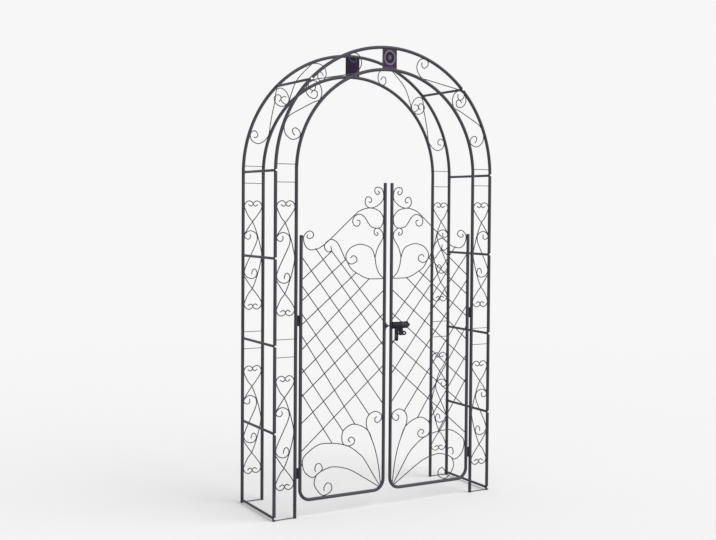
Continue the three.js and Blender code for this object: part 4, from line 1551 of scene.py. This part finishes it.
print("a rounded corner has", rounded_steps + 1, "points")

# %% Plates for the latch
merge_distance = 0.01
edge_segments = 3
facing_front = Matrix.Rotation(math.pi / 2, 3, "X")
facing_side = Matrix(((0, 0, 1), (1, 0, 0), (0, 1, 0)))


def plate(outlines, middle, thickness, edge, turn):
    """A plate cut to outlines, turned from flat into its place, with its edges rounded over."""
    drawing = bpy.data.curves.new("outline", "CURVE")
    drawing.dimensions = "2D"
    drawing.fill_mode = "BOTH"
    drawing.extrude = thickness / 2 * MM
    for outline in outlines:
        spline = drawing.splines.new("POLY")
        spline.points.add(len(outline) - 1)
        for point, (across, up) in zip(spline.points, outline):
            point.co = (across * MM, up * MM, 0, 1)
        spline.use_cyclic_u = True
    flat = settled(placed("outline", drawing))
    bpy.data.curves.remove(drawing)
    shape = bmesh.new()
    shape.from_mesh(flat)
    bmesh.ops.remove_doubles(shape, verts=shape.verts, dist=merge_distance * MM)
    bmesh.ops.recalc_face_normals(shape, faces=shape.faces)
    if edge:
        sharp = [item for item in shape.edges if item.calc_face_angle(0) > crisp_angle]
        bmesh.ops.bevel(shape, geom=sharp, offset=edge * MM, segments=edge_segments, profile=0.5,
                        affect="EDGES", clamp_overlap=True)
    place = Matrix.Translation(Vector(middle) * MM) @ turn.to_4x4()
    bmesh.ops.transform(shape, matrix=place, verts=shape.verts)
    shape.to_mesh(flat)
    shape.free()
    return flat


def worked(base, tool, operation):
    """Joins, or cuts, one closed mesh by another with the exact solver."""
    host = placed("worked", base)
    other = placed("worked", tool)
    modifier = host.modifiers.new("work", "BOOLEAN")
    modifier.operation = operation
    modifier.solver = "EXACT"
    modifier.object = other
    result = settled(host)
    bpy.data.objects.remove(other)
    for mesh in (base, tool):
        bpy.data.meshes.remove(mesh)
    return result


print("plate tools ready")

# %% [markdown]
# ## Latch
# A slide bolt locks the leaves. Its pointed back plate is welded to the right lock stile and
# has a lug with a padlock eye. The case over it guides a round bolt that slides sideways into
# the keeper on the left stile, and a flat drop handle hangs from the bolt through a slot in
# the case. The bolt clears its bore by 0.3 mm all round, so it can slide in the motion model.
# Its hollow parts are extruded from sections with holes, and the slot is cut out of the case.

# %% Sizes of the latch
latch_height = 825
latch_bolt_diameter = 6
latch_bolt_short = 2.5
latch_plate_thickness = 2.5
latch_plate_width = 31
latch_plate_start = 1
latch_plate_end = 96
latch_point = 12
case_end = 50
case_width = 18
case_depth = 11
flange_width = 25
latch_bolt_throw = 15
latch_bolt_retreat = 20
handle_place = 20
handle_neck = 8
handle_width = 19
handle_thickness = 4
handle_drop = 72
handle_hole = 4
handle_hole_rise = 16
lug_start = 34
lug_end = 60
lug_taper = 5
lug_drop = 32
eye_place = 66
eye_drop = 38
eye_diameter = 21
eye_hole = 7.5
keeper_length = 40
keeper_slope = 6
keeper_reach = 8
keeper_loop_width = 7
keeper_loop_height = 14
latch_screw_head = 6.4
latch_screw_head_height = 2.5
latch_screw_diameter = 4

plate_back = -face_y - tube_radius - fit_gap
plate_front = plate_back - latch_plate_thickness
case_back = plate_front - fit_gap
flange_front = case_back - latch_plate_thickness
case_front = case_back - case_depth
bolt_y = (case_back + case_front) / 2
bolt_bore = latch_bolt_diameter + 2 * fit_gap
print("latch depths:", plate_back, plate_front, case_back, case_front)

# %% Back plate with its padlock eye
plate_corner = 2.5
plate_edge = 0.6
eye_steps = 16
plate_weld_count = 5
plate_weld_start = 0.6
plate_weld_spacing = 1.4
plate_weld_sink = 0.2
plate_bead = (3.2, 3.2, 3.2)


def pointed_outline(half):
    start, end = lock_x - latch_plate_start, lock_x + latch_plate_end
    return [
        (start, latch_height - half), (end - latch_point, latch_height - half), (end, latch_height),
        (end - latch_point, latch_height + half), (start, latch_height + half),
    ]


def back_plate():
    pointed = pointed_outline(latch_plate_width / 2)
    low_start, low = pointed[0]
    eye_x, eye_z = lock_x + eye_place, latch_height - eye_drop
    lug_left, lug_right, lug_low = lock_x + lug_start, lock_x + lug_end, low - lug_drop
    reach = math.sqrt((eye_diameter / 2) ** 2 - (eye_x - lug_right) ** 2)
    first = math.atan2(reach, lug_right - eye_x)
    eye = arc(eye_x, eye_z, eye_diameter / 2, first, -first, eye_steps)
    upper = rounded(pointed[:0:-1] + [(lug_right, low)], plate_corner)
    lower = rounded([
        (lug_right, lug_low), (lug_left + lug_taper, lug_low), (lug_left, low), (low_start, low),
    ], plate_corner)
    outline = upper[rounded_steps // 2 + 1:] + eye + lower
    hole = circle(eye_x, eye_z, eye_hole)
    middle = (0, (plate_front + plate_back) / 2, 0)
    return plate([outline, hole], middle, latch_plate_thickness, plate_edge, facing_front)


def plate_welds():
    half = latch_plate_width / 2
    first = lock_x + plate_weld_start
    y = plate_back + plate_weld_sink
    return weld_beads([
        (Vector((first + plate_weld_spacing * index, y, z)), plate_bead, 0)
        for z in (latch_height - half, latch_height + half) for index in range(plate_weld_count)
    ], latch_black)


finished_piece("latch_plate_with_eye", [back_plate(), plate_welds()], "right_leaf", latch_black,
               ["latch_backplate"])

# %% Case with its slot
barrel_steps = 12
barrel_fullness = 0.7
barrel_edge = 0.8
flange_corner = 2
flange_edge = 0.5


def barrel_section(half, back, front):
    """A section with a flat back and a round front, bored for the bolt."""
    middle = (back + front) / 2
    outline = [(back, latch_height + half), (back, latch_height - half)]
    for step in range(barrel_steps + 1):
        turn = -math.pi / 2 + step / barrel_steps * math.pi
        outline.append((
            middle - (middle - front) * math.cos(turn) ** barrel_fullness,
            latch_height + half * math.sin(turn),
        ))
    return [outline, circle(bolt_y, latch_height, bolt_bore)]


def latch_case():
    start, end = lock_x - latch_plate_start, lock_x + case_end
    barrel = plate(barrel_section(case_width / 2, case_back, case_front), ((start + end) / 2, 0, 0),
                   end - start, barrel_edge, facing_side)
    flange = plate([rounded(pointed_outline(flange_width / 2), flange_corner)],
                   (0, (case_back + flange_front) / 2, 0), latch_plate_thickness, flange_edge, facing_front)
    half_neck = handle_neck / 2 + fit_gap
    slot_start = lock_x + handle_place - latch_bolt_throw - half_neck
    slot_end = lock_x + handle_place + latch_bolt_retreat + half_neck
    below = latch_height - case_width
    corners = [(slot_start, below), (slot_end, below), (slot_end, latch_height), (slot_start, latch_height)]
    slot = plate([corners], (0, bolt_y, 0), handle_thickness + 2 * fit_gap, 0, facing_front)
    return worked(worked(barrel, flange, "UNION"), slot, "DIFFERENCE")


finished_piece("latch_barrel", [latch_case()], "right_leaf", latch_black, ["latch_case"])

# %% Bolt with its drop handle
rod_sides = 24
rod_rim = 2.2
rod_rings = 5
handle_shoulder = 1.5
handle_edge = 0.9
handle_steps = 16
handle_hole_sides = 24


def latch_slide():
    tip = -lock_x + keeper_reach + latch_bolt_short
    handle_x = lock_x + handle_place
    half = handle_width / 2
    points = [Vector((x, bolt_y, latch_height)) for x in (tip, handle_x + half)]
    rod = bars([with_rims(points, latch_bolt_diameter, rod_rim, rod_rings)], latch_bolt_diameter,
               rod_sides, 1, latch_black)
    neck = handle_neck / 2
    shoulder = latch_height - flange_width / 2 - fit_gap
    right = [(handle_x + half, shoulder - handle_shoulder), (handle_x + half - handle_shoulder, shoulder),
             (handle_x + neck, shoulder), (handle_x + neck, latch_height)]
    left = [(2 * handle_x - x, z) for x, z in right[::-1]]
    round_end = arc(handle_x, latch_height - handle_drop + half, half, math.pi, 2 * math.pi, handle_steps)
    hole = circle(handle_x, latch_height - handle_drop + handle_hole_rise, handle_hole, handle_hole_sides)
    outline = right[-1:] + left + round_end + right[:-1]
    handle = plate([outline, hole], (0, bolt_y, 0), handle_thickness, handle_edge, facing_front)
    return worked(rod, handle, "UNION")


finished_piece("latch_slide", [latch_slide()], "latch_bolt", latch_black, ["latch_bolt"])

# %% Keeper on the left leaf
keeper_corner = 4
keeper_sink = 0.4


def latch_strike():
    right, left = -lock_x + keeper_reach, -lock_x - tube_radius
    half, loop = keeper_length / 2, keeper_loop_height / 2
    slope = right - keeper_slope
    corners = [(left, latch_height - half), (slope, latch_height - half), (right, latch_height - loop),
               (right, latch_height + loop), (slope, latch_height + half), (left, latch_height + half)]
    strap = plate([rounded(corners, keeper_corner)], (0, (plate_front + plate_back) / 2, 0),
                  latch_plate_thickness, plate_edge, facing_front)
    section = barrel_section(loop, plate_back - keeper_sink, case_front)
    ring = plate(section, (right - keeper_loop_width / 2, 0, 0), keeper_loop_width, barrel_edge, facing_side)
    return worked(strap, ring, "UNION")


finished_piece("latch_strike", [latch_strike()], "left_leaf", keeper_grey,
               ["latch_keeper"])

# %% Screws of the latch
screw_places = [(57, 8), (71, 4.5)]
screw_sides = 24
screw_flat = 0.3
screw_rim = 0.4
dome_steps = 6
cross_turns = [math.radians(25), math.radians(115)]
cross_reach = 0.62
cross_half_width = 0.45
cross_depth = 1.1


def latch_screw(place, rise):
    head, height = latch_screw_head / 2, latch_screw_head_height
    shank = latch_screw_diameter / 2
    seat = flange_front - fit_gap
    outline = [(shank, seat - plate_back), (shank, 0), (head - screw_flat, 0), (head, screw_rim)]
    for step in range(1, dome_steps):
        turn = step / dome_steps * math.pi / 2
        outline.append((head * math.cos(turn), screw_rim + (height - screw_rim) * math.sin(turn)))
    middle = Vector((lock_x + place, seat, latch_height + rise))
    screw = turned(outline, screw_sides, False, middle, facing_front)
    for turn in cross_turns:
        reach = Vector((math.cos(turn), math.sin(turn))) * head * cross_reach
        breadth = Vector((-math.sin(turn), math.cos(turn))) * cross_half_width
        corners = [-reach - breadth, reach - breadth, reach + breadth, -reach + breadth]
        slot = [(middle.x + corner.x, middle.z + corner.y) for corner in corners]
        cutter = plate([slot], (0, seat - height, 0), 2 * cross_depth, 0, facing_front)
        screw = worked(screw, cutter, "DIFFERENCE")
    return screw


finished_piece("latch_screws", [latch_screw(place, rise) for place, rise in screw_places], "right_leaf",
               dull_zinc, ["latch_screw_upper", "latch_screw_lower"])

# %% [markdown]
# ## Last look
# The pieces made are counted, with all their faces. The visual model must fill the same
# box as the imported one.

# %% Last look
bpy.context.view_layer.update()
total = sum(len(piece.data.polygons) for piece in made_pieces)
print("pieces:", len(made_pieces), "faces:", total)
